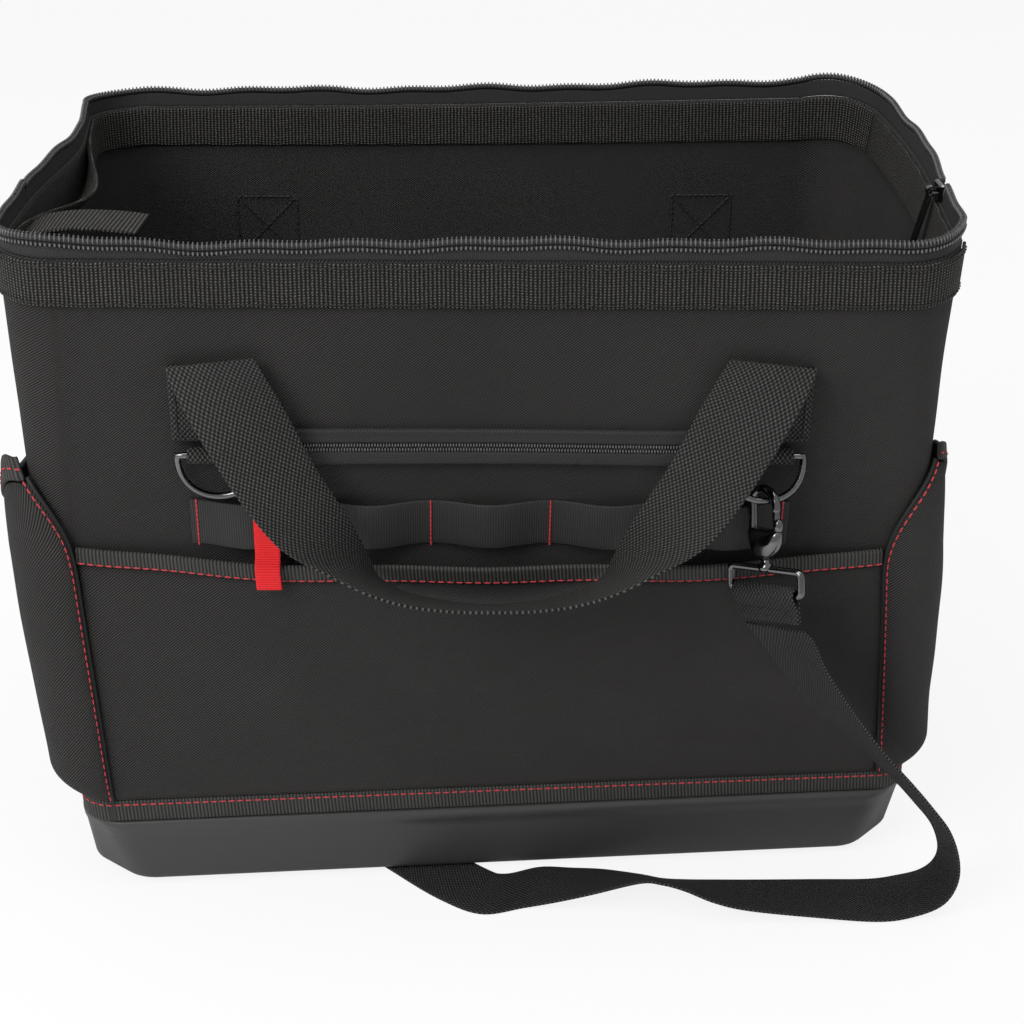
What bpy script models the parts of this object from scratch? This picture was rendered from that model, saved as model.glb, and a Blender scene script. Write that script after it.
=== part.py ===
"""Open-mouthed tool bag on a moulded tub, with a shoulder strap clipped on.

Metres. The front faces -Y, X runs to the right, Z is up and the floor is at zero.
"""
import math

import bmesh
import bpy
from mathutils import Matrix, Vector

# Clearances
SEAM_GAP = 0.0003
PIVOT_GAP = 0.0005
CUT_OVERRUN = 0.002
# the left pocket gapes further than the right one, so the tub stands this far right of the middle
BAG_SHIFT = 0.0062

# Moulded base tub
TUB_HEIGHT = 0.041
TUB_TOP_HALF_WIDTH = 0.2033
TUB_TOP_HALF_DEPTH = 0.1189
TUB_TOP_CUT_X = 0.0148
TUB_TOP_CUT_Y = 0.0143
TUB_BOTTOM_HALF_WIDTH = 0.2015
TUB_BOTTOM_HALF_DEPTH = 0.1147
TUB_BOTTOM_CUT_X = 0.0247
TUB_BOTTOM_CUT_Y = 0.0212
TUB_WALL = 0.0032
TUB_ROUND = 0.0035
TUB_TURN = math.radians(3.6)
FOOT_HEIGHT = 0.0025
FOOT_RADIUS = 0.012
FOOT_INSET = 0.034
BOARD_THICKNESS = 0.003
BOARD_CLEARANCE = 0.0015

# Heights of what the front carries, each set on the one below it
POCKET_TOP = 0.1795
LOOP_CLEARANCE = 0.0080
LOOP_HEIGHT = 0.0220
RING_CLEARANCE = 0.0235
ZIP_POCKET_RISE = 0.0035
KEEPER_DROP = 0.0040
ANCHOR_HEIGHT = 0.0370
HANDLE_PIVOT_RISE = 0.0030
RIM_CLEARANCE = 0.0430
LOOP_BOTTOM = POCKET_TOP + LOOP_CLEARANCE
RING_BAR_HEIGHT = LOOP_BOTTOM + LOOP_HEIGHT + RING_CLEARANCE
ZIP_POCKET_HEIGHT = RING_BAR_HEIGHT + ZIP_POCKET_RISE
ANCHOR_BOTTOM = RING_BAR_HEIGHT + KEEPER_DROP
ANCHOR_TOP = ANCHOR_BOTTOM + ANCHOR_HEIGHT
HANDLE_PIVOT_HEIGHT = ANCHOR_TOP + HANDLE_PIVOT_RISE

# Bag body: half width, half depth, corner radius and shift to the right at three heights
WAIST_RISE = 0.0005
WAIST_HEIGHT = POCKET_TOP + WAIST_RISE
RIM_HEIGHT = HANDLE_PIVOT_HEIGHT + RIM_CLEARANCE
BASE_HALF_WIDTH = 0.2005
BASE_HALF_DEPTH = 0.1160
BASE_CORNER = 0.0150
WAIST_HALF_WIDTH = 0.2020
WAIST_HALF_DEPTH = 0.1195
WAIST_CORNER = 0.0205
WAIST_SHIFT = -0.0040
RIM_HALF_WIDTH = 0.2035
RIM_HALF_DEPTH = 0.1235
RIM_CORNER = 0.0300
RIM_SHIFT = -0.0055
PANEL_THICKNESS = 0.0025
RIM_RISE = 0.010
RIM_SPLAY = 0.012

# Tapes and bands
HEM_TAPE_HEIGHT = 0.0115
TAPE_THICKNESS = 0.0015
BAND_HEIGHT = 0.0195
BAND_DROP = 0.0005
ZIP_TAPE_HEIGHT = 0.0065
ZIP_TAPE_THICKNESS = 0.0012
ZIP_COIL_RADIUS = 0.0015
ZIP_MEETING_SHARE = 0.25

# Large front and back pockets
POCKET_TOP_LIFT = 0.006
POCKET_CLOTH = 0.0016
POCKET_SLACK = 0.0070
POCKET_SIDE_INSET = 0.0010
POCKET_HEM_HEIGHT = 0.0085
POCKET_HEM_THICKNESS = 0.0028

# Side pockets
SIDE_POCKET_RISE = 0.0415
SIDE_POCKET_FRONT_TOP = POCKET_TOP + SIDE_POCKET_RISE
SIDE_POCKET_DIP = 0.028
SIDE_POCKET_LEFT_BELLY = 0.0120
SIDE_POCKET_RIGHT_BELLY = 0.0110
SIDE_POCKET_LEFT_SLACK = 0.0200
SIDE_POCKET_RIGHT_SLACK = 0.0100
SIDE_POCKET_FILL_SHARE = 0.10
SIDE_SEAM_SHARE = 0.55
PIPING_STAND = 0.0006

# Zip pocket in the front panel
ZIP_POCKET_HALF_LENGTH = 0.099
ZIP_POCKET_TAPE_HEIGHT = 0.0160
WELT_HEIGHT = 0.0062
WELT_THICKNESS = 0.0018
WELT_MOUTH = 0.0042
POCKET_COIL_RADIUS = 0.0013
POUCH_HEIGHT = 0.110
POUCH_THICKNESS = 0.0016

# Zip slider and pull
SLIDER_LENGTH = 0.0110
SLIDER_WIDTH = 0.0080
SLIDER_THICKNESS = 0.0025
CROWN_RISE = 0.0027
CROWN_RADIUS = 0.0007
PULL_EYE_RADIUS = 0.0023
PULL_EYE_LENGTH = 0.0030
PULL_LENGTH = 0.0260
PULL_WIDTH = 0.0062
PULL_THICKNESS = 0.0014

MAIN_SLIDER_OUT = -0.0018
MAIN_PULL_LEAN = math.radians(12)

# The webbing tab at the left end of the mouth zip: its middle from the rim's left
# side, then the way from the middle to its edge
END_TAB_ROUTE = (
    (0.0050, -0.0745, -0.0060, 0.0000, 0.0135, 0.0000),
    (0.0140, -0.0745, -0.0010, 0.0000, 0.0135, 0.0000),
    (0.0280, -0.0745, 0.0012, 0.0006, 0.0135, 0.0000),
    (0.0440, -0.0742, 0.0008, 0.0012, 0.0135, 0.0000),
    (0.0580, -0.0740, -0.0008, 0.0008, 0.0135, 0.0000),
)

# Elastic tool loops
LOOP_COUNT = 5
LOOP_PITCH = 0.0529
LOOP_LEFT = -0.1325
LOOP_RISE = 0.0055
LOOP_THICKNESS = 0.0013

# Red ribbon tab
TAB_X = -0.0985
TAB_WIDTH = 0.0120
TAB_ROOT_RISE = 0.0090
TAB_OVERHANG = 0.0140
TAB_TOP = LOOP_BOTTOM + LOOP_HEIGHT + TAB_ROOT_RISE
TAB_SLOPE_START = 0.0015
TAB_BOTTOM = POCKET_TOP - TAB_OVERHANG
TAB_THICKNESS = 0.0012
TAB_STAND_OFF = 0.0095
TAB_REACH = 0.0145

# Handle webbing and anchors
WEBBING_WIDTH = 0.038
WEBBING_THICKNESS = 0.0016
ANCHOR_X = 0.1185
ANCHOR_THICKNESS = 0.0030
HANDLE_PIVOT_OUT = 0.0056

# D-rings and their keepers
RING_WIRE = 0.0019
RING_HALF_WIDTH = 0.0170
RING_DROP = 0.0195
KEEPER_RADIUS = 0.0037
KEEPER_WIDTH = 0.0250
CLIPPED_RING_TILT = math.radians(26)

# Snap hook
BOW_RADIUS = 0.0073
BOW_WIRE = 0.0022
BOW_TOP = 0.0335
BOW_GAP = 0.0013
HOOK_BLOCK_LENGTH = 0.0192
HOOK_BLOCK_WIDTH = 0.0070
HOOK_BLOCK_BOTTOM = 0.0040
HOOK_BLOCK_TOP = 0.0125
HOOK_BLOCK_ROUND = 0.0015
GATE_WIRE = 0.0017
GATE_TOP = 0.0245
TIP_BOTTOM = 0.0252
EYE_WIRE = 0.0017
EYE_HALF_WIDTH = 0.0183
EYE_TOP = -0.0020
EYE_BOTTOM = -0.0125
EYE_CORNER = 0.0022
STEM_RADIUS = 0.0016
HOOK_LEAN_SHARES = (0.045, -0.300, -0.953)
HOOK_LEAN = Vector(HOOK_LEAN_SHARES).normalized()
BOW_TURN = math.radians(57)
EYE_TURN = math.radians(45)

# Shoulder strap
STRAP_WIDTH = 0.032
STRAP_THICKNESS = 0.0016
STRAP_LOOP_LENGTH = 0.013
STRAP_LOOP_INNER = 0.0024
STRAP_LOOP_SWING = math.radians(10)
RETURN_LOOP_LENGTH = 0.045
ADJUSTER_BAR = 0.0035
ADJUSTER_SLOT = 0.0075
ADJUSTER_THICKNESS = 0.0026

# The strap's route from the front hook round to the adjuster at the back. Each row
# is its middle, then the way from the middle to its outer edge.
STRAP_ROUTE = (
    (0.1248, -0.1492, 0.1608, 0.0110, -0.0110, 0.0038),
    (0.1299, -0.1495, 0.1549, 0.0104, -0.0110, 0.0051),
    (0.1397, -0.1500, 0.1390, 0.0072, -0.0123, 0.0073),
    (0.1520, -0.1500, 0.1214, 0.0055, -0.0125, 0.0083),
    (0.1655, -0.1480, 0.1048, 0.0030, -0.0130, 0.0087),
    (0.1795, -0.1480, 0.0900, 0.0010, -0.0137, 0.0082),
    (0.1925, -0.1480, 0.0760, 0.0002, -0.0138, 0.0081),
    (0.2040, -0.1475, 0.0620, 0.0000, -0.0139, 0.0080),
    (0.2140, -0.1460, 0.0480, 0.0000, -0.0141, 0.0076),
    (0.2205, -0.1430, 0.0310, 0.0005, -0.0146, 0.0065),
    (0.2215, -0.1395, 0.0165, 0.0015, -0.0152, 0.0045),
    (0.2160, -0.1385, 0.0065, 0.0020, -0.0157, 0.0020),
    (0.2040, -0.1395, 0.0022, 0.0010, -0.0160, 0.0005),
    (0.1879, -0.1415, 0.0012, -0.0005, -0.0160, 0.0002),
    (0.1598, -0.1421, 0.0030, -0.0023, -0.0157, 0.0014),
    (0.1269, -0.1421, 0.0052, -0.0028, -0.0154, 0.0035),
    (0.1100, -0.1414, 0.0072, -0.0028, -0.0148, 0.0055),
    (0.0954, -0.1401, 0.0098, -0.0020, -0.0136, 0.0081),
    (0.0885, -0.1388, 0.0104, -0.0010, -0.0040, 0.0032),
    (0.0845, -0.1380, 0.0104, 0.0000, -0.0002, 0.0034),
    (0.0805, -0.1370, 0.0104, 0.0008, 0.0040, -0.0020),
    (0.0739, -0.1356, 0.0103, 0.0016, 0.0132, -0.0085),
    (0.0538, -0.1331, 0.0066, 0.0041, 0.0147, -0.0046),
    (0.0377, -0.1319, 0.0040, 0.0043, 0.0153, -0.0023),
    (0.0217, -0.1307, 0.0016, 0.0045, 0.0154, -0.0002),
    (0.0030, -0.1350, 0.0012, 0.0062, 0.0148, 0.0000),
    (-0.0113, -0.1280, 0.0011, 0.0107, 0.0119, 0.0000),
    (-0.0343, -0.1075, 0.0011, 0.0107, 0.0119, 0.0000),
    (-0.0750, -0.0660, 0.0011, 0.0110, 0.0116, 0.0000),
    (-0.1000, -0.0200, 0.0011, 0.0143, 0.0072, 0.0000),
    (-0.1080, 0.0350, 0.0011, 0.0159, 0.0015, 0.0000),
    (-0.1060, 0.0950, 0.0011, 0.0160, -0.0006, 0.0000),
    (-0.1035, 0.1400, 0.0011, 0.0160, -0.0008, 0.0000),
    (-0.1025, 0.1600, 0.0030, 0.0160, -0.0008, 0.0000),
    (-0.1035, 0.1730, 0.0150, 0.0160, -0.0010, -0.0002),
    (-0.1060, 0.1760, 0.0360, 0.0158, -0.0020, -0.0010),
    (-0.1120, 0.1730, 0.0640, 0.0152, -0.0048, -0.0015),
    (-0.1200, 0.1650, 0.0940, 0.0140, -0.0075, -0.0025),
)
STRAP_STEPS = 3

# The handle's webbing from its left pivot to the middle of the grip. Each row is
# its middle from the pivot, then the way from the middle to its inner edge.
HANDLE_HANG = (
    (0.0000, 0.0000, 0.0000, 0.0188, 0.0006, 0.0020),
    (0.0050, -0.0052, -0.0090, 0.0183, 0.0030, 0.0035),
    (0.0150, -0.0120, -0.0250, 0.0160, 0.0090, 0.0045),
    (0.0290, -0.0185, -0.0490, 0.0140, 0.0110, 0.0060),
    (0.0420, -0.0215, -0.0680, 0.0115, 0.0137, 0.0055),
    (0.0540, -0.0200, -0.0830, 0.0070, 0.0176, 0.0010),
    (0.0660, -0.0205, -0.0935, 0.0035, 0.0184, -0.0030),
    (0.0830, -0.0205, -0.1010, 0.0008, 0.0182, -0.0052),
    (0.1010, -0.0205, -0.1045, 0.0000, 0.0180, -0.0060),
    (0.1185, -0.0205, -0.1055, 0.0000, 0.0179, -0.0063),
)
HANDLE_STEPS = 3

# Resolution
CORNER_STEPS = 4
FACE_STEPS = 14
SIDE_STEPS = 8
COIL_STEPS = 6
END_STEP = 0.02
RING_STEPS = 18
ROUND_SIDES = 16

FINISHES = {
    "twill": ((0.035, 0.034, 0.034, 1), 0.85, 0.0),
    "webbing": ((0.045, 0.044, 0.040, 1), 0.80, 0.0),
    "hem_tape": ((0.038, 0.036, 0.034, 1), 0.75, 0.0),
    "tub_plastic": ((0.042, 0.041, 0.040, 1), 0.45, 0.0),
    "board": ((0.030, 0.030, 0.030, 1), 0.80, 0.0),
    "zip": ((0.020, 0.020, 0.021, 1), 0.50, 0.0),
    "red_ribbon": ((0.700, 0.014, 0.018, 1), 0.60, 0.0),
    "hardware": ((0.110, 0.110, 0.115, 1), 0.25, 1.0),
}


def clear_scene():
    for thing in list(bpy.data.objects):
        bpy.data.objects.remove(thing)


def new_collection(name):
    collection = bpy.data.collections.new(name)
    bpy.context.scene.collection.children.link(collection)
    return collection


def finish(name, slot):
    colour, roughness, metallic = FINISHES[slot]
    material = bpy.data.materials.new(name)
    material.use_nodes = True
    shader = material.node_tree.nodes["Principled BSDF"]
    shader.inputs["Base Color"].default_value = colour
    shader.inputs["Roughness"].default_value = roughness
    shader.inputs["Metallic"].default_value = metallic
    material.diffuse_color = colour
    return material


def add_part(name, slot, data, matrix=None, home=None):
    part = bpy.data.objects.new(name, data)
    (home or bag).objects.link(part)
    if matrix is not None:
        part.matrix_world = matrix
    if slot:
        data.materials.append(finish(name, slot))
    return part


def hide_as_cutter(part):
    part.hide_render = True
    part.display_type = "WIRE"


def join(part, other, operation):
    other.name = part.name + "_" + operation.lower()
    hide_as_cutter(other)
    step = part.modifiers.new(operation.title(), "BOOLEAN")
    step.operation = operation
    step.object = other
    step.solver = "EXACT"


def axis_empty(name, place, matrix=None):
    empty = bpy.data.objects.new(name, None)
    empty.empty_display_size = WEBBING_WIDTH
    bag.objects.link(empty)
    empty.matrix_world = matrix or Matrix.Translation(place)
    return empty


def hang_on(part, empty):
    place = part.matrix_world.copy()
    part.parent = empty
    part.matrix_parent_inverse = empty.matrix_world.inverted()
    part.matrix_world = place


def shift_all(distance):
    middle = bpy.data.objects.new("bag_middle", None)
    bag.objects.link(middle)
    for part in list(bag.objects) + list(cutters.objects):
        if part.parent is None and part is not middle:
            part.parent = middle
    middle.location.x = distance


def smooth_share(share):
    share = min(max(share, 0.0), 1.0)
    return share * share * (3 - 2 * share)


def blend(low, high, share):
    return low + (high - low) * share


# The bag's outer surface. q runs anticlockwise round the bag seen from above, one
# unit to each straight side or corner: 0 to 1 is the front from left to right, 1 to
# 2 the front right corner, 2 to 3 the right side, and so on to 8.
def section(height):
    if height < WAIST_HEIGHT:
        share = (height - TUB_HEIGHT) / (WAIST_HEIGHT - TUB_HEIGHT)
        low = (BASE_HALF_WIDTH, BASE_HALF_DEPTH, BASE_CORNER, 0)
        high = (WAIST_HALF_WIDTH, WAIST_HALF_DEPTH, WAIST_CORNER, WAIST_SHIFT)
    else:
        share = (height - WAIST_HEIGHT) / (RIM_HEIGHT - WAIST_HEIGHT)
        low = (WAIST_HALF_WIDTH, WAIST_HALF_DEPTH, WAIST_CORNER, WAIST_SHIFT)
        high = (RIM_HALF_WIDTH, RIM_HALF_DEPTH, RIM_CORNER, RIM_SHIFT)
    return [blend(a, b, share) for a, b in zip(low, high)]


def turn_at(height):
    """The cloth takes up the tub's turn between the tub and the waist."""
    share = (height - TUB_HEIGHT) / (WAIST_HEIGHT - TUB_HEIGHT)
    return TUB_TURN * (1 - min(max(share, 0), 1))


def skin(q, height, out=0.0):
    half_width, half_depth, radius, shift = section(height)
    q = q % 8
    side = int(q)
    along = q - side
    rim_share = max((height - WAIST_HEIGHT) / (RIM_HEIGHT - WAIST_HEIGHT), 0) ** 2
    back_share = math.exp(-((q - 3.5) / 0.9) ** 2) * rim_share
    right_share = math.exp(-((q - 2.65) / 0.6) ** 2) * rim_share
    out = out + RIM_SPLAY * right_share
    reach_x = half_width - radius
    reach_y = half_depth - radius
    angle = math.radians(-90 + 45 * (side if side % 2 == 0 else side - 1 + 2 * along))
    normal = Vector((math.cos(angle), math.sin(angle), 0))
    corner_x = reach_x if side in (1, 2, 3) else -reach_x
    corner_y = reach_y if side in (3, 4, 5) else -reach_y
    if side == 0:
        corner_x = blend(-reach_x, reach_x, along)
    elif side == 2:
        corner_y = blend(-reach_y, reach_y, along)
    elif side == 4:
        corner_x = blend(reach_x, -reach_x, along)
    elif side == 6:
        corner_y = blend(reach_y, -reach_y, along)
    place = Vector((corner_x, corner_y, 0)) + normal * (radius + out)
    place.rotate(Matrix.Rotation(turn_at(height), 3, "Z"))
    place.x += shift
    place.z = height + RIM_RISE * back_share
    return place


def q_steps(start, end, face=FACE_STEPS, side=SIDE_STEPS, corner=CORNER_STEPS):
    """Stops from start to end, with a short first and last step to square the ends."""
    stops = {start, end}
    if (end - start) % 8:
        stops |= {start + END_STEP, end - END_STEP}
    for unit in range(math.floor(start), math.ceil(end)):
        count = corner if unit % 2 else side if unit % 4 else face
        stops |= {unit + step / count for step in range(count)}
    stops = sorted(stop for stop in stops if start <= stop <= end)
    return [stop for stop, after in zip(stops, stops[1:] + [end + 1])
            if stop in (start, end) or after - stop > END_STEP / 4]


def shares(count):
    return [step / count for step in range(count + 1)]


def cloth(name, slot, columns, rows, place, thickness, closed=False):
    """A sheet over a grid: place gives its outer face, Solidify its thickness inwards."""
    mesh = bpy.data.meshes.new(name)
    shape = bmesh.new()
    used = columns[:-1] if closed else columns
    grid = [[shape.verts.new(place(u, v)) for u in used] for v in rows]
    for row in range(len(rows) - 1):
        for column in range(len(columns) - 1):
            after = (column + 1) % len(used)
            low = grid[row]
            high = grid[row + 1]
            shape.faces.new((low[column], low[after], high[after], high[column]))
    shape.to_mesh(mesh)
    shape.free()
    sheet = add_part(name, slot, mesh)
    wall = sheet.modifiers.new("Thickness", "SOLIDIFY")
    wall.thickness = thickness
    wall.offset = -1
    return sheet


def band(name, slot, start, end, heights, out, thickness, closed=False):
    """A tape that follows the bag through the given heights."""
    return cloth(name, slot, q_steps(start, end), heights,
                 lambda q, height: skin(q, height, out), thickness, closed)


def tube_curve(name, points, radius, cyclic=False, resolution=2):
    curve = bpy.data.curves.new(name, "CURVE")
    curve.dimensions = "3D"
    curve.bevel_depth = radius
    curve.bevel_resolution = resolution
    curve.use_fill_caps = True
    line = curve.splines.new("POLY")
    line.points.add(len(points) - 1)
    for point, place in zip(line.points, points):
        point.co = (*place, 1)
    line.use_cyclic_u = cyclic
    return curve


def tube(name, slot, points, radius, cyclic=False, matrix=None, resolution=2):
    return add_part(name, slot, tube_curve(name, points, radius, cyclic, resolution), matrix)


def as_mesh(part):
    """The same piece as a mesh, with its caps welded."""
    bpy.context.view_layer.update()
    seen = part.evaluated_get(bpy.context.evaluated_depsgraph_get())
    mesh = bpy.data.meshes.new_from_object(seen)
    shape = bmesh.new()
    shape.from_mesh(mesh)
    bmesh.ops.remove_doubles(shape, verts=shape.verts, dist=PIVOT_GAP / 100)
    bmesh.ops.recalc_face_normals(shape, faces=shape.faces)
    shape.to_mesh(mesh)
    shape.free()
    name = part.name
    matrix = part.matrix_world.copy()
    home = part.users_collection[0]
    bpy.data.objects.remove(part)
    fresh = bpy.data.objects.new(name, mesh)
    home.objects.link(fresh)
    fresh.matrix_world = matrix
    return fresh


def block(name, slot, size, place, matrix=None, bevel=0.0, segments=2, home=None):
    mesh = bpy.data.meshes.new(name)
    shape = bmesh.new()
    bmesh.ops.create_cube(shape, size=1)
    bmesh.ops.scale(shape, verts=shape.verts, vec=size)
    bmesh.ops.translate(shape, verts=shape.verts, vec=place)
    shape.to_mesh(mesh)
    shape.free()
    part = add_part(name, slot, mesh, matrix, home)
    if bevel:
        edge = part.modifiers.new("Edges", "BEVEL")
        edge.width = bevel
        edge.segments = segments
    return part


def rod(name, slot, radius, start, end, matrix=None, home=None, sides=ROUND_SIDES):
    """A round bar between two points."""
    start = Vector(start)
    end = Vector(end)
    turn = (end - start).to_track_quat("Z", "Y").to_matrix().to_4x4()
    mesh = bpy.data.meshes.new(name)
    shape = bmesh.new()
    bmesh.ops.create_cone(shape, cap_ends=True, segments=sides, radius1=radius,
                          radius2=radius, depth=(end - start).length)
    bmesh.ops.transform(shape, verts=shape.verts,
                        matrix=Matrix.Translation((start + end) / 2) @ turn)
    shape.to_mesh(mesh)
    shape.free()
    return add_part(name, slot, mesh, matrix, home)


def tub_ring(half_width, half_depth, cut_x, cut_y, height):
    quarter = ((half_width - cut_x, half_depth), (half_width, half_depth - cut_y))
    (ax, ay), (bx, by) = quarter
    outline = ((ax, -ay), (bx, -by), (bx, by), (ax, ay),
               (-ax, ay), (-bx, by), (-bx, -by), (-ax, -ay))
    return [(x, y, height) for x, y in outline]


def tub_loft(shape, lower, upper):
    low = [shape.verts.new(point) for point in lower]
    high = [shape.verts.new(point) for point in upper]
    for i in range(len(low)):
        j = (i + 1) % len(low)
        shape.faces.new((low[i], low[j], high[j], high[i]))
    return low, high


def make_tub():
    mesh = bpy.data.meshes.new("base_tub")
    shape = bmesh.new()
    lower = tub_ring(TUB_BOTTOM_HALF_WIDTH, TUB_BOTTOM_HALF_DEPTH,
                     TUB_BOTTOM_CUT_X, TUB_BOTTOM_CUT_Y, FOOT_HEIGHT)
    upper = tub_ring(TUB_TOP_HALF_WIDTH, TUB_TOP_HALF_DEPTH,
                     TUB_TOP_CUT_X, TUB_TOP_CUT_Y, TUB_HEIGHT)
    low, high = tub_loft(shape, lower, upper)
    shape.faces.new(list(reversed(low)))
    soft_edges = [edge for edge in shape.edges if not all(v in high for v in edge.verts)]
    bmesh.ops.bevel(shape, geom=soft_edges, offset=TUB_ROUND, segments=2,
                    profile=0.5, affect="EDGES")
    shape.to_mesh(mesh)
    shape.free()
    turn = Matrix.Rotation(TUB_TURN, 4, "Z")
    tub = add_part("base_tub", "tub_plastic", mesh, turn)
    wall = tub.modifiers.new("Wall", "SOLIDIFY")
    wall.thickness = TUB_WALL
    wall.offset = -1
    wall.use_even_offset = True
    over = (3 * TUB_TOP_HALF_WIDTH, 3 * TUB_TOP_HALF_DEPTH, TUB_HEIGHT)
    trim = block("rim_trim", None, over, (0, 0, TUB_HEIGHT * 1.5), turn, home=cutters)
    join(tub, trim, "DIFFERENCE")
    for right in (-1, 1):
        for back in (-1, 1):
            x = right * (TUB_BOTTOM_HALF_WIDTH - FOOT_INSET)
            y = back * (TUB_BOTTOM_HALF_DEPTH - FOOT_INSET)
            foot = rod("foot", None, FOOT_RADIUS, (x, y, 0),
                       (x, y, FOOT_HEIGHT + TUB_WALL / 2), turn, home=cutters)
            join(tub, foot, "UNION")
    return tub


def make_board():
    inset = TUB_WALL + BOARD_CLEARANCE
    bottom = FOOT_HEIGHT + TUB_WALL + SEAM_GAP
    mesh = bpy.data.meshes.new("floor_board")
    shape = bmesh.new()
    rings = [tub_ring(TUB_BOTTOM_HALF_WIDTH - inset, TUB_BOTTOM_HALF_DEPTH - inset,
                      TUB_BOTTOM_CUT_X, TUB_BOTTOM_CUT_Y, height)
             for height in (bottom, bottom + BOARD_THICKNESS)]
    low, high = tub_loft(shape, *rings)
    shape.faces.new(list(reversed(low)))
    shape.faces.new(high)
    shape.to_mesh(mesh)
    shape.free()
    add_part("floor_board", "board", mesh, Matrix.Rotation(TUB_TURN, 4, "Z"))


def make_panels():
    low = TUB_HEIGHT + SEAM_GAP
    band_foot = RIM_HEIGHT - BAND_DROP - BAND_HEIGHT
    heights = [blend(low, WAIST_HEIGHT, share) for share in shares(5)]
    heights += [blend(WAIST_HEIGHT, band_foot, share) for share in shares(3)[1:]]
    heights.append(RIM_HEIGHT)
    corner_gap = 2 * SEAM_GAP / (BASE_HALF_DEPTH - BASE_CORNER)
    spans = {
        "front_panel": (-1, 2),
        "right_gusset": (2 + corner_gap, 3 - corner_gap),
        "back_panel": (3, 6),
        "left_gusset": (6 + corner_gap, 7 - corner_gap),
    }
    for name, (start, end) in spans.items():
        band(name, "twill", start, end, heights, 0, PANEL_THICKNESS)
    hem_out = SEAM_GAP + TAPE_THICKNESS
    band("base_hem_tape", "hem_tape", 0, 8, (low, low + HEM_TAPE_HEIGHT), hem_out,
         TAPE_THICKNESS, closed=True)


def make_rim_bands():
    """Webbing round the rim: outside on the front and back, and inside all round."""
    high = RIM_HEIGHT - BAND_DROP
    low = high - BAND_HEIGHT
    outside = SEAM_GAP + TAPE_THICKNESS
    inside = -(PANEL_THICKNESS + SEAM_GAP)
    end_gap = SEAM_GAP / (RIM_HALF_DEPTH - RIM_CORNER)
    band("front_rim_band", "webbing", -1, 2, (low, high), outside, TAPE_THICKNESS)
    band("back_rim_band", "webbing", 3, 6, (low, high), outside, TAPE_THICKNESS)
    band("front_lining_band", "webbing", -1, 2, (low, high), inside, TAPE_THICKNESS)
    band("back_lining_band", "webbing", 3, 6, (low, high), inside, TAPE_THICKNESS)
    band("right_lining_band", "webbing", 2 + end_gap, 3 - end_gap, (low, high), inside,
         TAPE_THICKNESS)
    band("left_lining_band", "webbing", 6 + end_gap, 7 - end_gap, (low, high), inside,
         TAPE_THICKNESS)


def make_mouth_zip():
    tape_low = RIM_HEIGHT + SEAM_GAP
    tape_high = tape_low + ZIP_TAPE_HEIGHT
    tape_out = -(PANEL_THICKNESS - ZIP_TAPE_THICKNESS) / 2
    coil_out = tape_out - ZIP_TAPE_THICKNESS / 2
    coil_height = tape_high + SEAM_GAP + ZIP_COIL_RADIUS
    side_length = 2 * (RIM_HALF_DEPTH - RIM_CORNER)
    end_gap = 2 * SEAM_GAP / side_length
    slider_gap = (SLIDER_LENGTH + 4 * SEAM_GAP) / side_length
    right = 2 + ZIP_MEETING_SHARE
    left = -1 - ZIP_MEETING_SHARE
    spans = {
        "front_zip": (left, right),
        "back_zip": (right + slider_gap, 8 + left - end_gap),
    }
    for name, (start, end) in spans.items():
        band(name + "_tape", "zip", start, end, (tape_low, tape_high), tape_out,
             ZIP_TAPE_THICKNESS)
        stops = q_steps(start, end, COIL_STEPS, COIL_STEPS, 3)
        path = [skin(q, coil_height, coil_out) for q in stops]
        tube(name + "_coil", "zip", path, ZIP_COIL_RADIUS)
    middle = tape_low + SEAM_GAP + SLIDER_WIDTH / 2
    place = skin(right + slider_gap / 2, middle, MAIN_SLIDER_OUT)
    upright = Matrix.Translation(place) @ Matrix.Rotation(-math.pi / 2, 4, "Z")
    make_slider("main_zip", upright, MAIN_PULL_LEAN)
    tab_line = [(RIM_SHIFT - RIM_HALF_WIDTH + x, y, RIM_HEIGHT + z, *edge)
                for x, y, z, *edge in END_TAB_ROUTE]
    webbing("zip_end_tab", smooth_line(tab_line, 2), WEBBING_THICKNESS)


# Pockets
def pocket_top(along):
    return POCKET_TOP + POCKET_TOP_LIFT * (2 * along - 1) ** 2


def pocket_out(along, height):
    """The pocket stands off the panel most at the middle of its open top."""
    bottom = TUB_HEIGHT + HEM_TAPE_HEIGHT + 2 * SEAM_GAP
    rise = (height - bottom) / (pocket_top(along) - bottom)
    bow = 1 - (2 * along - 1) ** 4
    return SEAM_GAP + POCKET_CLOTH + POCKET_SLACK * bow * rise ** 1.6


def make_flat_pocket(name, first_q):
    """A slip pocket across one face, with a ribbed hem along its top."""
    side_share = POCKET_SIDE_INSET / (2 * BASE_HALF_WIDTH)
    columns = [blend(side_share, 1 - side_share, share) for share in shares(14)]
    bottom = TUB_HEIGHT + HEM_TAPE_HEIGHT + 2 * SEAM_GAP

    def height_at(along, share, low_share):
        top = pocket_top(along) - POCKET_HEM_HEIGHT - SEAM_GAP
        return blend(bottom, top, share) if low_share else blend(
            pocket_top(along) - POCKET_HEM_HEIGHT, pocket_top(along), share)

    def body(along, share):
        height = height_at(along, share, True)
        return skin(first_q + along, height, pocket_out(along, height))

    def hem(along, share):
        height = height_at(along, share, False)
        proud = POCKET_HEM_THICKNESS - POCKET_CLOTH
        return skin(first_q + along, height, pocket_out(along, height) + proud)

    cloth(name, "twill", columns, shares(6), body, POCKET_CLOTH)
    cloth(name + "_hem", "hem_tape", columns, shares(1), hem, POCKET_HEM_THICKNESS)


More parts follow.
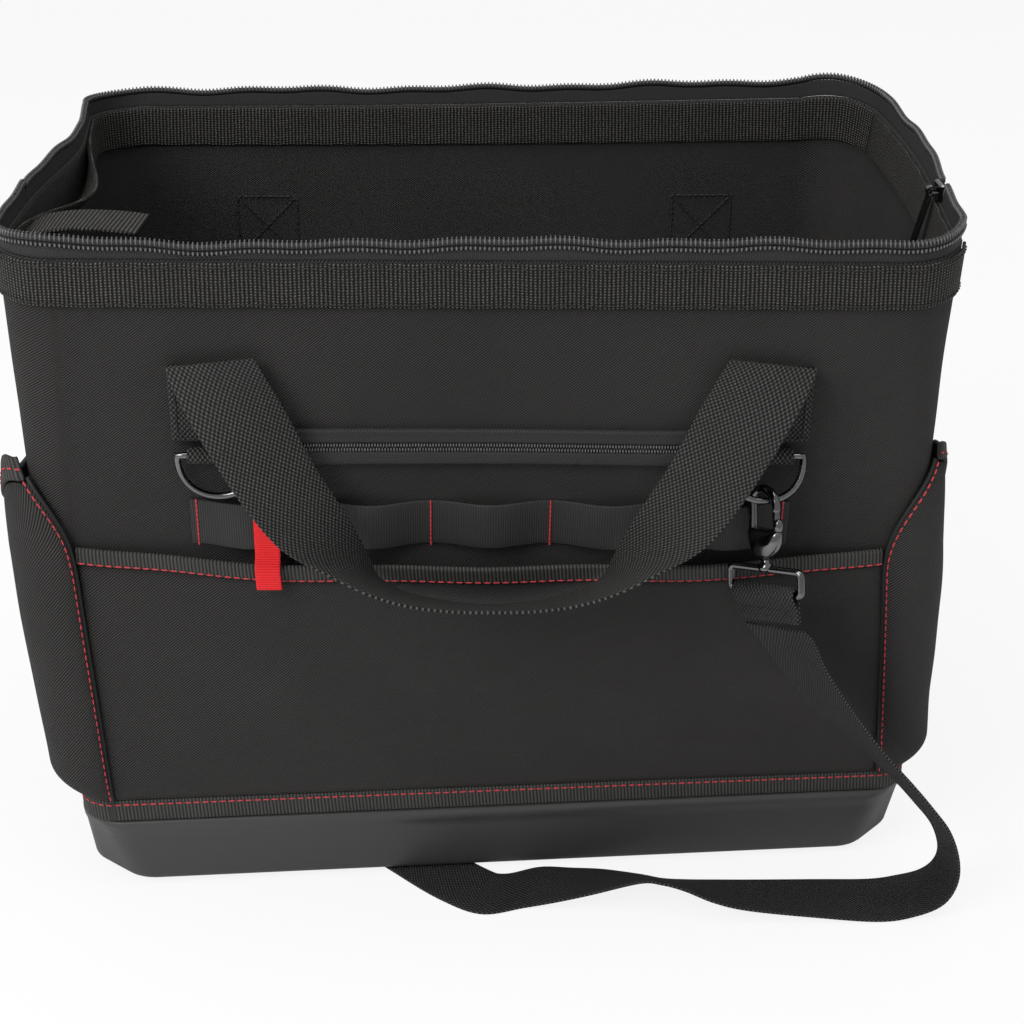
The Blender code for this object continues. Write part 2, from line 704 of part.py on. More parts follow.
def side_seam(height):
    """How far the side pocket's front seam swings out round the corner, as a share of q."""
    start = POCKET_TOP - POCKET_HEM_HEIGHT
    share = (height - start) / (SIDE_POCKET_FRONT_TOP - start)
    return SIDE_SEAM_SHARE * max(share, 0) ** 1.6


def make_side_pocket(name, mirrored, side_belly, mouth_slack):
    bottom = TUB_HEIGHT + HEM_TAPE_HEIGHT + 2 * SEAM_GAP
    edge_share = 2 * POCKET_SIDE_INSET / (math.pi * BASE_CORNER)

    def top_at(across):
        return SIDE_POCKET_FRONT_TOP - SIDE_POCKET_DIP * math.sin(math.pi * across)

    def surface(across, height, rise, extra):
        first = 1 + edge_share + side_seam(height)
        q = blend(first, 5 - first, across)
        bow = max(math.sin(math.pi * across), 0) ** 0.35
        belly = side_belly * (1 - (1 - min(rise / SIDE_POCKET_FILL_SHARE, 1)) ** 2)
        stand = belly * (1 - rise ** 6) + mouth_slack * rise ** 6
        out = SEAM_GAP + PIPING_STAND + POCKET_CLOTH + extra + stand * bow
        return skin(1 - q if mirrored else q, height, out)

    def body(across, share):
        top = top_at(across) - POCKET_HEM_HEIGHT - 3 * SEAM_GAP
        height = blend(bottom, top, share)
        return surface(across, height, (height - bottom) / (top_at(across) - bottom), 0)

    def hem(across, share):
        height = blend(top_at(across) - POCKET_HEM_HEIGHT, top_at(across), share)
        proud = POCKET_HEM_THICKNESS - POCKET_CLOTH
        rise = (height - bottom) / (top_at(across) - bottom)
        return surface(across, height, rise, proud)

    columns = shares(20)
    if mirrored:
        columns = list(reversed(columns))
    rows = [SIDE_POCKET_FILL_SHARE * share for share in shares(2)]
    rows += [blend(SIDE_POCKET_FILL_SHARE, 1, share) for share in shares(6)[1:]]
    cloth(name, "twill", columns, rows, body, POCKET_CLOTH)
    cloth(name + "_hem", "hem_tape", columns, shares(1), hem, POCKET_HEM_THICKNESS)


def front_q(x, height):
    half_width, half_depth, radius, shift = section(height)
    reach = half_width - radius
    return (x - shift + reach) / (2 * reach)


def on_front(x, height, out):
    """A point on or off the front face, above the waist."""
    return skin(front_q(x, height), height, out)


def make_zip_pocket():
    middle = ZIP_POCKET_HEIGHT
    low = middle - ZIP_POCKET_TAPE_HEIGHT / 2
    high = middle + ZIP_POCKET_TAPE_HEIGHT / 2
    reach = ZIP_POCKET_HALF_LENGTH
    tape_out = SEAM_GAP + ZIP_TAPE_THICKNESS

    def strip(name, slot, bottom, top, out, thickness):
        cloth(name, slot, [-reach, reach], [bottom, top],
              lambda x, height: on_front(x, height, out), thickness)

    strip("zip_pocket_tape", "zip", low, high, tape_out, ZIP_TAPE_THICKNESS)
    welt_out = tape_out + SEAM_GAP + WELT_THICKNESS
    upper = middle + WELT_MOUTH / 2
    lower = middle - WELT_MOUTH / 2
    strip("zip_pocket_upper_welt", "twill", upper, upper + WELT_HEIGHT, welt_out,
          WELT_THICKNESS)
    strip("zip_pocket_lower_welt", "twill", lower - WELT_HEIGHT, lower, welt_out,
          WELT_THICKNESS)
    coil_out = tape_out + SEAM_GAP + POCKET_COIL_RADIUS
    path = [on_front(blend(-reach, reach, share), middle, coil_out) for share in shares(2)]
    tube("zip_pocket_coil", "zip", path, POCKET_COIL_RADIUS)
    inside = -(PANEL_THICKNESS + SEAM_GAP)
    pouch_stops = [blend(-reach, reach, share) for share in shares(7)]
    foot = low - POUCH_HEIGHT
    pouch_heights = [foot, blend(foot, WAIST_HEIGHT, 0.5), WAIST_HEIGHT, high]
    cloth("zip_pocket_pouch", "twill", pouch_stops, pouch_heights,
          lambda x, height: skin(front_q(x, height), height, inside), POUCH_THICKNESS)
    slider_out = coil_out + POCKET_COIL_RADIUS + SEAM_GAP
    slider_x = -reach + SLIDER_LENGTH
    place = on_front(slider_x, middle, slider_out)
    make_slider("zip_pocket", Matrix.Translation(place))


def make_slider(name, matrix, pull_lean=0):
    """A zip slider lying along X with its front towards -Y, and its hanging pull."""
    body = block(name + "_slider", "hardware", (SLIDER_LENGTH, SLIDER_THICKNESS, SLIDER_WIDTH),
                 (0, -SLIDER_THICKNESS / 2, 0), matrix, bevel=SLIDER_THICKNESS / 4, segments=1)
    crown_y = -SLIDER_THICKNESS - CROWN_RISE
    half = SLIDER_LENGTH / 2 - CROWN_RADIUS * 2
    sunk = -SLIDER_THICKNESS / 2
    crown = tube("crown", None, ((-half, sunk, 0), (-half, crown_y, 0), (half, crown_y, 0),
                                 (half, sunk, 0)), CROWN_RADIUS, matrix=matrix)
    crown = as_mesh(crown)
    move_to_cutters(crown)
    join(body, crown, "UNION")
    hinge = matrix @ Matrix.Translation((0, crown_y, 0))
    pull_axis = axis_empty(name + "_pull_axis", None, hinge)
    axis = hinge @ Matrix.Rotation(-pull_lean, 4, "X")
    pull = block(name + "_pull", "hardware", (PULL_WIDTH, PULL_THICKNESS, PULL_LENGTH),
                 (0, 0, -PULL_EYE_RADIUS / 2 - PULL_LENGTH / 2), axis,
                 bevel=PULL_THICKNESS / 4, segments=1)
    half_eye = PULL_EYE_LENGTH / 2
    eye = rod("eye", None, PULL_EYE_RADIUS, (-half_eye, 0, 0), (half_eye, 0, 0), axis,
              home=cutters)
    join(pull, eye, "UNION")
    bore_radius = CROWN_RADIUS + PIVOT_GAP
    half_bore = PULL_WIDTH / 2 + CUT_OVERRUN
    bore = rod("bore", None, bore_radius, (-half_bore, 0, 0), (half_bore, 0, 0), axis,
               home=cutters)
    join(pull, bore, "DIFFERENCE")
    hang_on(pull, pull_axis)


def move_to_cutters(part):
    for home in list(part.users_collection):
        home.objects.unlink(part)
    cutters.objects.link(part)


def make_tool_loops():
    columns = []
    for loop in range(LOOP_COUNT):
        start = LOOP_LEFT + loop * LOOP_PITCH
        columns += [start + LOOP_PITCH * share for share in shares(8)[:-1]]
    columns.append(LOOP_LEFT + LOOP_COUNT * LOOP_PITCH)

    def place(x, share):
        along = (x - LOOP_LEFT) / LOOP_PITCH
        rise = LOOP_RISE * math.sin(math.pi * along) ** 2
        height = blend(LOOP_BOTTOM, LOOP_BOTTOM + LOOP_HEIGHT, share)
        return on_front(x, height, SEAM_GAP + LOOP_THICKNESS + rise)

    cloth("tool_loops", "webbing", columns, shares(1), place, LOOP_THICKNESS)


def make_red_tab():
    """A ribbon from below the zip over the loops and the pocket's hem."""
    def place(x, share):
        height = blend(TAB_BOTTOM, TAB_TOP, share)
        near_hem = smooth_share((LOOP_BOTTOM - height) / (LOOP_BOTTOM - POCKET_TOP))
        slope_start = LOOP_BOTTOM + LOOP_HEIGHT + TAB_SLOPE_START
        near_root = smooth_share((height - slope_start) / (TAB_TOP - slope_start))
        out = blend(TAB_STAND_OFF, TAB_REACH, near_hem)
        out = blend(out, SEAM_GAP + TAB_THICKNESS, near_root)
        return on_front(x, height, out)

    half = TAB_WIDTH / 2
    cloth("red_tab", "red_ribbon", [TAB_X - half, TAB_X + half], shares(16), place,
          TAB_THICKNESS)


# Strap-like pieces
def smooth_line(rows, steps):
    """A Catmull-Rom curve through the rows, each a tuple of numbers."""
    rows = [Vector(row) for row in rows]
    line = []
    for i in range(len(rows) - 1):
        before = rows[max(i - 1, 0)]
        start = rows[i]
        end = rows[i + 1]
        after = rows[min(i + 2, len(rows) - 1)]
        for step in range(steps):
            t = step / steps
            line.append(0.5 * (2 * start + (end - before) * t
                               + (2 * before - 5 * start + 4 * end - after) * t ** 2
                               + (3 * start - before - 3 * end + after) * t ** 3))
    line.append(rows[-1])
    return line


def webbing(name, stations, thickness):
    """A strap through stations of six numbers: its middle, and the way to one edge."""
    middles = [Vector(station[:3]) for station in stations]
    edges = [Vector(station[3:]) for station in stations]
    last = len(stations) - 1

    def place(across, index):
        middle = middles[index]
        ahead = middles[min(index + 1, last)] - middles[max(index - 1, 0)]
        face = ahead.cross(edges[index]).normalized()
        return middle + edges[index] * across + face * thickness / 2

    return cloth(name, "webbing", [1, 0, -1], list(range(last + 1)), place, thickness)


def half_turn(matrix):
    """The same piece on the back of the bag, turned half round the upright axis."""
    return Matrix.Rotation(math.pi, 4, "Z") @ matrix


def make_handle(name, back):
    half = smooth_line(HANDLE_HANG, HANDLE_STEPS)
    length = ANCHOR_X
    left = []
    right = []
    for row in half:
        x, y, z, ex, ey, ez = row
        left.append((x - length, y, z, ex, ey, ez))
        right.append((length - x, y, z, -ex, ey, ez))
    stations = left + list(reversed(right))[1:]
    pivot_y = on_front(0, HANDLE_PIVOT_HEIGHT, HANDLE_PIVOT_OUT).y
    handle = webbing(name, stations, WEBBING_THICKNESS)
    matrix = Matrix.Translation((0, pivot_y, HANDLE_PIVOT_HEIGHT))
    if back:
        matrix = half_turn(matrix)
    axis = axis_empty(name + "_axis", None, matrix)
    handle.matrix_world = matrix
    hang_on(handle, axis)


def make_anchor(name, x, back):
    """A sewn patch of doubled webbing with a keeper for the D-ring along its foot."""
    face_y = on_front(0, ANCHOR_BOTTOM, SEAM_GAP).y
    lean = on_front(0, ANCHOR_TOP, SEAM_GAP).y - face_y
    height = ANCHOR_TOP - ANCHOR_BOTTOM
    tilt = Matrix.Rotation(math.atan2(-lean, height), 4, "X")
    matrix = Matrix.Translation((x, face_y, ANCHOR_BOTTOM)) @ tilt
    keeper_drop = RING_BAR_HEIGHT - ANCHOR_BOTTOM
    if back:
        matrix = half_turn(matrix)
    overlap = KEEPER_RADIUS / 2
    patch = block(name, "webbing", (WEBBING_WIDTH, ANCHOR_THICKNESS, height + overlap),
                  (0, -ANCHOR_THICKNESS / 2, (height - overlap) / 2), matrix)
    half = KEEPER_WIDTH / 2
    keeper_y = -KEEPER_RADIUS
    keeper = rod("keeper", None, KEEPER_RADIUS, (-half, keeper_y, keeper_drop),
                 (half, keeper_y, keeper_drop), matrix, home=cutters)
    join(patch, keeper, "UNION")
    half += CUT_OVERRUN + WEBBING_WIDTH
    bore = rod("bore", None, RING_WIRE + PIVOT_GAP, (-half, keeper_y, keeper_drop),
               (half, keeper_y, keeper_drop), matrix, home=cutters)
    join(patch, bore, "DIFFERENCE")
    return matrix @ Matrix.Translation((0, keeper_y, keeper_drop)) @ tilt.inverted()


def make_ring(name, matrix, tilt):
    """A D-ring hanging from its bar, which is the origin's X axis."""
    points = []
    for step in range(RING_STEPS + 1):
        angle = math.pi * step / RING_STEPS
        points.append((RING_HALF_WIDTH * math.cos(angle), 0, -RING_DROP * math.sin(angle) ** 0.8))
    tilted = matrix @ Matrix.Rotation(-tilt, 4, "X")
    ring = tube(name, "hardware", points, RING_WIRE, cyclic=True, matrix=tilted)
    axis = axis_empty(name + "_axis", None, matrix)
    hang_on(ring, axis)


def hook_frame(ring_matrix):
    """The hook's own frame: Z up its stem, its origin where it turns on the eye."""
    low_wire = ring_matrix @ Vector((0, -RING_DROP * math.sin(CLIPPED_RING_TILT),
                                     -RING_DROP * math.cos(CLIPPED_RING_TILT)))
    up = -HOOK_LEAN
    bow_middle = low_wire + up * (RING_WIRE + BOW_WIRE + BOW_GAP)
    return bow_middle - up * BOW_TOP, up


def frame_matrix(place, up, turn):
    """Z along up, and X turned in plan from the world's X by turn towards -Y."""
    along = Vector((math.cos(turn), -math.sin(turn), 0))
    along = (along - up * along.dot(up)).normalized()
    across = up.cross(along)
    matrix = Matrix((along, across, up)).transposed().to_4x4()
    matrix.translation = place
    return matrix


def make_hook(name, front_ring, back):
    place, up = hook_frame(front_ring)
    matrix = frame_matrix(place, up, BOW_TURN)
    eye_matrix = frame_matrix(place, up, EYE_TURN)
    if back:
        matrix = half_turn(matrix)
        eye_matrix = half_turn(eye_matrix)
    block_middle = (HOOK_BLOCK_TOP + HOOK_BLOCK_BOTTOM) / 2
    body = block(name + "_body", "hardware",
                 (HOOK_BLOCK_LENGTH, HOOK_BLOCK_WIDTH, HOOK_BLOCK_TOP - HOOK_BLOCK_BOTTOM),
                 (0, 0, block_middle), matrix, bevel=HOOK_BLOCK_ROUND)
    arc_height = BOW_TOP - BOW_RADIUS
    points = [(-BOW_RADIUS, 0, block_middle)]
    for step in range(11):
        angle = math.pi * step / 10
        points.append((-BOW_RADIUS * math.cos(angle), 0, arc_height + BOW_RADIUS * math.sin(angle)))
    points[-1] = (BOW_RADIUS, 0, TIP_BOTTOM)
    bow = as_mesh(tube("bow", None, points, BOW_WIRE, matrix=matrix))
    move_to_cutters(bow)
    join(body, bow, "UNION")
    axis = axis_empty(name + "_swivel_axis", None, matrix)
    hang_on(body, axis)

    pivot = (BOW_RADIUS, 0, HOOK_BLOCK_TOP + SEAM_GAP + GATE_WIRE)
    gate_matrix = matrix @ Matrix.Translation(pivot)
    gate = rod(name + "_gate", "hardware", GATE_WIRE, (0, 0, -GATE_WIRE + SEAM_GAP),
               (0, 0, GATE_TOP - pivot[2]), gate_matrix, sides=12)
    gate_axis = axis_empty(name + "_gate_axis", None, gate_matrix)
    hang_on(gate, gate_axis)

    outline = []
    reach = EYE_HALF_WIDTH - EYE_CORNER
    for index, (cx, cz) in enumerate(((reach, EYE_TOP - EYE_CORNER), (-reach, EYE_TOP - EYE_CORNER),
                                      (-reach, EYE_BOTTOM + EYE_CORNER),
                                      (reach, EYE_BOTTOM + EYE_CORNER))):
        for step in range(4):
            angle = math.radians(90 * index + 30 * step)
            outline.append((cx + EYE_CORNER * math.cos(angle), 0, cz + EYE_CORNER * math.sin(angle)))
    eye = as_mesh(tube(name + "_eye", None, outline, EYE_WIRE, cyclic=True, matrix=eye_matrix))
    eye.data.materials.append(finish(name + "_eye", "hardware"))
    stem_foot = EYE_TOP - EYE_WIRE / 3
    stem = rod("stem", None, STEM_RADIUS, (0, 0, stem_foot),
               (0, 0, HOOK_BLOCK_BOTTOM - SEAM_GAP), eye_matrix, home=cutters, sides=12)
    join(eye, stem, "UNION")
    return eye_matrix


def strap_profile(name, outline, matrix):
    """A sewn loop of webbing: closed outlines in the YZ plane, as wide as the strap."""
    curve = bpy.data.curves.new(name, "CURVE")
    curve.dimensions = "2D"
    curve.fill_mode = "BOTH"
    curve.extrude = STRAP_WIDTH / 2
    for points in outline:
        line = curve.splines.new("POLY")
        line.points.add(len(points) - 1)
        for point, (a, b) in zip(line.points, points):
            point.co = (a, b, 0, 1)
        line.use_cyclic_u = True
    # The curve's X, Y and Z become the eye's Y, Z and X.
    turn = Matrix(((0, 0, 1, 0), (1, 0, 0, 0), (0, 1, 0, 0), (0, 0, 0, 1)))
    return add_part(name, "webbing", curve, matrix @ turn)


def sewn_loop(name, matrix, tail):
    """Webbing round the eye's lower bar, its two layers sewn together along tail."""
    inner = STRAP_LOOP_INNER
    outer = inner + STRAP_THICKNESS
    foot = STRAP_THICKNESS
    steps = 8
    arc = [math.pi * step / steps for step in range(steps + 1)]
    outside = [(outer * math.cos(a), outer * math.sin(a)) for a in arc]
    near = []
    far = []
    for index, (across, along) in enumerate(tail):
        before = Vector(tail[max(index - 1, 0)] if index else (0, 0))
        after = Vector(tail[min(index + 1, len(tail) - 1)])
        way = (after - before).normalized()
        near.append((across + way.y * foot, along - way.x * foot))
        far.append((across - way.y * foot, along + way.x * foot))
    outside += near + list(reversed(far))
    hole = [(inner * math.cos(a), inner * math.sin(a)) for a in arc]
    hole += [(0, -inner * 2)]
    strap_profile(name, (outside, hole), matrix)


def make_adjuster(matrix):
    """A flat slider with a middle bar between two slots for the webbing."""
    opening = STRAP_WIDTH + 4 * SEAM_GAP
    width = opening + 2 * ADJUSTER_BAR
    height = 2 * ADJUSTER_SLOT + 3 * ADJUSTER_BAR
    frame = block("strap_adjuster", "hardware", (width, ADJUSTER_THICKNESS, height),
                  (0, 0, 0), matrix, bevel=ADJUSTER_THICKNESS / 4, segments=1)
    through = (opening, ADJUSTER_THICKNESS + CUT_OVERRUN, ADJUSTER_SLOT)
    for side in (-1, 1):
        middle = side * (ADJUSTER_BAR + ADJUSTER_SLOT) / 2
        slot = block("slot", None, through, (0, 0, middle), matrix, home=cutters)
        join(frame, slot, "DIFFERENCE")


def make_strap(front_eye, back_eye):
    """Both sewn ends, the adjuster and the webbing between them."""
    bar = Matrix.Translation((0, 0, EYE_BOTTOM))
    hang = bar @ Matrix.Rotation(STRAP_LOOP_SWING, 4, "X")
    sewn_loop("strap_front_loop", front_eye @ hang, [(0, -STRAP_LOOP_LENGTH)])
    centre = -RETURN_LOOP_LENGTH
    behind = ADJUSTER_THICKNESS / 2 + STRAP_THICKNESS + 2 * SEAM_GAP
    slot_middle = (ADJUSTER_BAR + ADJUSTER_SLOT) / 2
    outer_bar = slot_middle * 2
    tail = [(0, centre / 2), (behind, centre + outer_bar + ADJUSTER_SLOT),
            (behind, centre + outer_bar - ADJUSTER_BAR / 2),
            (STRAP_THICKNESS / 2, centre + slot_middle)]
    sewn_loop("strap_back_loop", back_eye @ hang, tail)
    adjuster = back_eye @ hang @ Matrix.Translation((0, 0, centre))
    make_adjuster(adjuster)
    to_edge = adjuster.to_3x3() @ Vector((-STRAP_WIDTH / 2, 0, 0))
    behind -= STRAP_THICKNESS / 2
    rows = list(STRAP_ROUTE)
    knee = -outer_bar + ADJUSTER_BAR / 2
    for across, along in ((behind, -outer_bar - ADJUSTER_SLOT), (behind, knee),
                          (0, -slot_middle)):
        rows.append((*(adjuster @ Vector((0, across, along))), *to_edge))
    webbing("shoulder_strap", smooth_line(rows, STRAP_STEPS), STRAP_THICKNESS)


clear_scene()
bag = new_collection("tool_bag")
cutters = new_collection("cutters")
make_tub()
make_board()
make_panels()
make_rim_bands()
make_mouth_zip()
make_flat_pocket("front_pocket", 0)
make_flat_pocket("back_pocket", 4)
make_side_pocket("right_side_pocket", False, SIDE_POCKET_RIGHT_BELLY, SIDE_POCKET_RIGHT_SLACK)
make_side_pocket("left_side_pocket", True, SIDE_POCKET_LEFT_BELLY, SIDE_POCKET_LEFT_SLACK)
make_zip_pocket()
make_tool_loops()
make_red_tab()
make_handle("front_handle", False)
make_handle("back_handle", True)
rings = {}
for place_name, x, back in (("front_left", -ANCHOR_X, False), ("front_right", ANCHOR_X, False),
                            ("back_left", ANCHOR_X, True), ("back_right", -ANCHOR_X, True)):
    bar_matrix = make_anchor(place_name + "_anchor", x, back)
    clipped = x > 0
    make_ring(place_name + "_d_ring", bar_matrix, CLIPPED_RING_TILT if clipped else 0)
    rings[place_name] = bar_matrix
front_eye = make_hook("front_hook", rings["front_right"], False)
back_eye = make_hook("back_hook", rings["front_right"], True)
make_strap(front_eye, back_eye)
shift_all(BAG_SHIFT)
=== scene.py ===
# A soft tool bag on a moulded tub, with its shoulder strap lying in front of it.
# Metres, front towards -Y, floor at zero. Every piece sits where its CAD node is.
import bpy
import math
import numpy as np
from mathutils import Matrix, Vector


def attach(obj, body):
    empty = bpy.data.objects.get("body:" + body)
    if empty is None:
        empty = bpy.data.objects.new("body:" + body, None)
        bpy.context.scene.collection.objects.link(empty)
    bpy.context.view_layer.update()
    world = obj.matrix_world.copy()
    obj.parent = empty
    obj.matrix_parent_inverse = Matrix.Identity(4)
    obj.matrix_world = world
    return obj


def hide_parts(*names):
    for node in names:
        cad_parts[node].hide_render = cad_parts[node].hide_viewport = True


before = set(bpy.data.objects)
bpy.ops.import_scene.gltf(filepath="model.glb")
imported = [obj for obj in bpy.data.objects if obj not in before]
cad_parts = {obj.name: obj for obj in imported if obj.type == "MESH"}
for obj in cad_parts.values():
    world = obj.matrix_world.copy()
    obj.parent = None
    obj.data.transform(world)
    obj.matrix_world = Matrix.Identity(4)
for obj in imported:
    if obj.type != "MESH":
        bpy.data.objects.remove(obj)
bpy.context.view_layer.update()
home = bpy.context.scene.collection
pi = math.pi
# the tub's middle stands this far from the origin, which is the middle of the overall width
bagMiddle = np.array([0.0062, 0, 0])
print("frame loaded:", len(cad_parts), "nodes")


# ---- numbers and vectors

def unit(v):
    return v / np.maximum(np.linalg.norm(v, axis=-1, keepdims=True), 1e-12)


def mix(a, b, t):
    return a + (b - a) * t


# 3t^2 - 2t^3 between 0 and 1
def ease(t):
    t = np.clip(t, 0, 1)
    return t * t * (3 - 2 * t)


def bell(x, middle, width):
    return np.exp(-((x - middle) / width) ** 2)


def lengths(path):
    return np.concatenate([[0], np.cumsum(np.linalg.norm(np.diff(path, axis=0), axis=-1))])


def slopes(path, closed=False):
    if closed:
        return unit(np.roll(path, -1, axis=0) - np.roll(path, 1, axis=0))
    return unit(np.gradient(path, axis=0))


# a Catmull-Rom curve through rows of any width, `steps` points to a span
def smoothLine(rows, steps):
    rows = np.array(rows, float)
    before, after = np.vstack([rows[:1], rows[:-2]]), np.vstack([rows[2:], rows[-1:]])
    start, end = rows[:-1], rows[1:]
    t = (np.arange(steps) / steps)[None, :, None]
    a, b, c, d = (k[:, None, :] for k in (before, start, end, after))
    line = 0.5 * (2 * b + (c - a) * t + (2 * a - 5 * b + 4 * c - d) * t ** 2 + (3 * b - a - 3 * c + d) * t ** 3)
    return np.vstack([line.reshape(-1, rows.shape[1]), rows[-1:]])


# points `pitch` apart along a path, with any rows that go with them
def spaced(pitch, path, *others):
    at = lengths(path)
    count = max(int(at[-1] / pitch), 1)
    stops = (np.arange(count) + 0.5) * at[-1] / count
    return [np.stack([np.interp(stops, at, rows[:, k]) for k in range(rows.shape[1])], 1) for rows in (path, *others)]


# ---- meshes

# points, then lists of three- or four-cornered faces, and one UV in metres to a point
def putMesh(name, points, faces, finish, uv=None, smooth=True, wrap=0.0):
    points = np.asarray(points, float).reshape(-1, 3) + bagMiddle
    corner = np.concatenate([np.asarray(f).reshape(-1) for f in faces]).astype(np.int32)
    total = np.concatenate([np.full(len(f), np.asarray(f).shape[1]) for f in faces]).astype(np.int32)
    mesh = bpy.data.meshes.new(name)
    mesh.vertices.add(len(points))
    mesh.vertices.foreach_set("co", points.ravel())
    mesh.loops.add(len(corner))
    mesh.loops.foreach_set("vertex_index", corner)
    mesh.polygons.add(len(total))
    mesh.polygons.foreach_set("loop_start", np.concatenate([[0], np.cumsum(total)[:-1]]).astype(np.int32))
    mesh.polygons.foreach_set("use_smooth", np.full(len(total), smooth))
    if uv is not None:
        uv = np.asarray(uv, float).reshape(-1, 2)[corner]
        if wrap:  # a face across the seam takes its low end one turn further
            start = np.concatenate([[0], np.cumsum(total)[:-1]])
            most = np.repeat(np.maximum.reduceat(uv[:, 0], start), total)
            uv[:, 0] += wrap * (most - uv[:, 0] > wrap / 2)
        mesh.uv_layers.new(name="cloth").data.foreach_set("uv", uv.ravel())
    mesh.update(calc_edges=True)
    mesh.validate()
    mesh.materials.append(finish)
    piece = bpy.data.objects.new(name, mesh)
    home.objects.link(piece)
    return piece


def quads(grid, flip=False):
    low, high = grid[:-1], grid[1:]
    order = (low[:, :-1], low[:, 1:], high[:, 1:], high[:, :-1])
    return np.stack(order[::-1] if flip else order, -1).reshape(-1, 4)


# a tube of n rings of k points: a loop, or ended by fans round two points after the rings
def tubeFaces(n, k, closed=False, flip=False):
    ring = np.arange(n * k).reshape(n, k)
    ring = np.hstack([ring, ring[:, :1]])
    if closed:
        return [quads(np.vstack([ring, ring[:1]]))]
    return [quads(ring, flip), np.stack([ring[0, 1:], ring[0, :-1], np.full(k, n * k)], 1),
            np.stack([ring[-1, :-1], ring[-1, 1:], np.full(k, n * k + 1)], 1)]


def angles(count):
    return np.arange(count) / count * 2 * pi


# a cloth layer: `face` holds its outer side as rows x columns of points, its inner side
# lies `wall` behind that along the surface's own normals, and the edges are closed
def layer(name, face, wall, finish, closed=False):
    rows, cols = face.shape[:2]
    across = np.roll(face, -1, 1) - np.roll(face, 1, 1) if closed else np.gradient(face, axis=1)
    normal = unit(np.cross(across, np.gradient(face, axis=0)))
    points = np.concatenate([face.reshape(-1, 3), (face - normal * wall).reshape(-1, 3)])
    front = np.arange(rows * cols).reshape(rows, cols)
    if closed:
        front = np.hstack([front, front[:, :1]])
    back = front + rows * cols
    faces = [quads(front), quads(back, True)]
    faces += [quads(np.stack([back[0], front[0]])), quads(np.stack([front[-1], back[-1]]))]
    if not closed:
        faces += [quads(np.stack([front[:, 0], back[:, 0]])), quads(np.stack([back[:, -1], front[:, -1]]))]
    u, v = lengths(face[rows // 2]), lengths(face[:, cols // 2])
    flat = np.stack(np.meshgrid(u, v), -1).reshape(-1, 2)
    return putMesh(name, points, faces, finish, np.concatenate([flat, flat]), wrap=u[-1] + u[1] if closed else 0)


# the outline of a tape, anticlockwise: a from -1 to 1 across it, b through it in metres
def tapeOutline(half, thick, count=6):
    turn = np.linspace(-pi / 2, pi / 2, 7)
    edge = 1 - thick / 2 / half
    right = np.stack([edge + np.cos(turn) * (1 - edge), np.sin(turn) * thick / 2], 1)
    top = np.stack([np.linspace(edge, -edge, count + 1)[1:-1], np.full(count - 1, thick / 2)], 1)
    return np.vstack([right, top, -right, -top])


# a closed outline carried along a path: middle + half * a + face * b, where the face is
# square to the way ahead and to the half width; u is the length along, v is a in metres
def carry(name, middle, half, outline, finish, closed=False):
    face = unit(np.cross(slopes(middle, closed), half))
    points = middle[:, None] + half[:, None] * outline[None, :, :1] + face[:, None] * outline[None, :, 1:]
    n, k = points.shape[:2]
    size = np.linalg.norm(half, axis=-1)[:, None]
    uv = np.stack(np.broadcast_arrays(lengths(middle)[:, None], size * outline[None, :, 0]), -1).reshape(-1, 2)
    total = lengths(middle)[-1]
    if not closed:
        points = np.concatenate([points.reshape(-1, 3), middle[[0, -1]]])
        uv = np.vstack([uv, [[0, 0], [total, 0]]])
    return putMesh(name, points, tubeFaces(n, k, closed), finish, uv, wrap=total + total / n if closed else 0)


# a tape between two edges, each a row of points on its outer face
def tapeBetween(name, low, high, thick, finish, closed=False):
    half = (high - low) / 2
    face = unit(np.cross(slopes((low + high) / 2, closed), half))
    middle = (low + high) / 2 - face * thick / 2
    outline = tapeOutline(np.linalg.norm(half, axis=-1).mean(), thick)
    return carry(name, middle, half, outline, finish, closed), face


# a round wire: a circle about each point of the path, its open ends rounded
def wire(name, path, radius, finish, closed=False, about=(0, 0, 1), sides=14):
    path = np.asarray(path, float)
    size = np.full(len(path), float(radius))
    if not closed:
        turn = np.linspace(pi / 2, 0, 5)[:-1]
        ahead = slopes(path)
        start = path[0] - ahead[0] * radius * np.sin(turn)[:, None]
        end = path[-1] + ahead[-1] * radius * np.sin(turn)[::-1, None]
        path = np.vstack([start, path, end])
        size = np.concatenate([radius * np.cos(turn) + 1e-6, size, radius * np.cos(turn)[::-1] + 1e-6])
    ahead = slopes(path, closed)
    side = unit(np.cross(np.array(about, float), ahead))
    turn = angles(sides)
    outline = np.stack([np.cos(turn), np.sin(turn)], 1)
    up = np.cross(ahead, side)
    spokes = side[:, None] * outline[None, :, :1] + up[:, None] * outline[None, :, 1:]
    points = path[:, None] + size[:, None, None] * spokes
    if not closed:
        points = np.concatenate([points.reshape(-1, 3), path[[0, -1]]])
    return putMesh(name, points, tubeFaces(len(path), sides, closed), finish)


# a small capsule along X: half-thickness (1 - t^4)^0.5 at the share t of its half length.
# its sides are wound inwards and its ends outwards, a fault
def pill(length, width, height, rings=5, sides=6):
    t = np.linspace(-0.94, 0.94, rings)
    swell = np.sqrt(1 - t ** 4)
    turn = angles(sides)
    x = np.broadcast_to(t[:, None] * length / 2, (rings, sides))
    y, z = swell[:, None] * np.cos(turn) * width / 2, swell[:, None] * np.sin(turn) * height / 2
    points = np.vstack([np.stack([x, y, z], -1).reshape(-1, 3), [[-length / 2, 0, 0], [length / 2, 0, 0]]])
    return points, tubeFaces(rings, sides, flip=True)


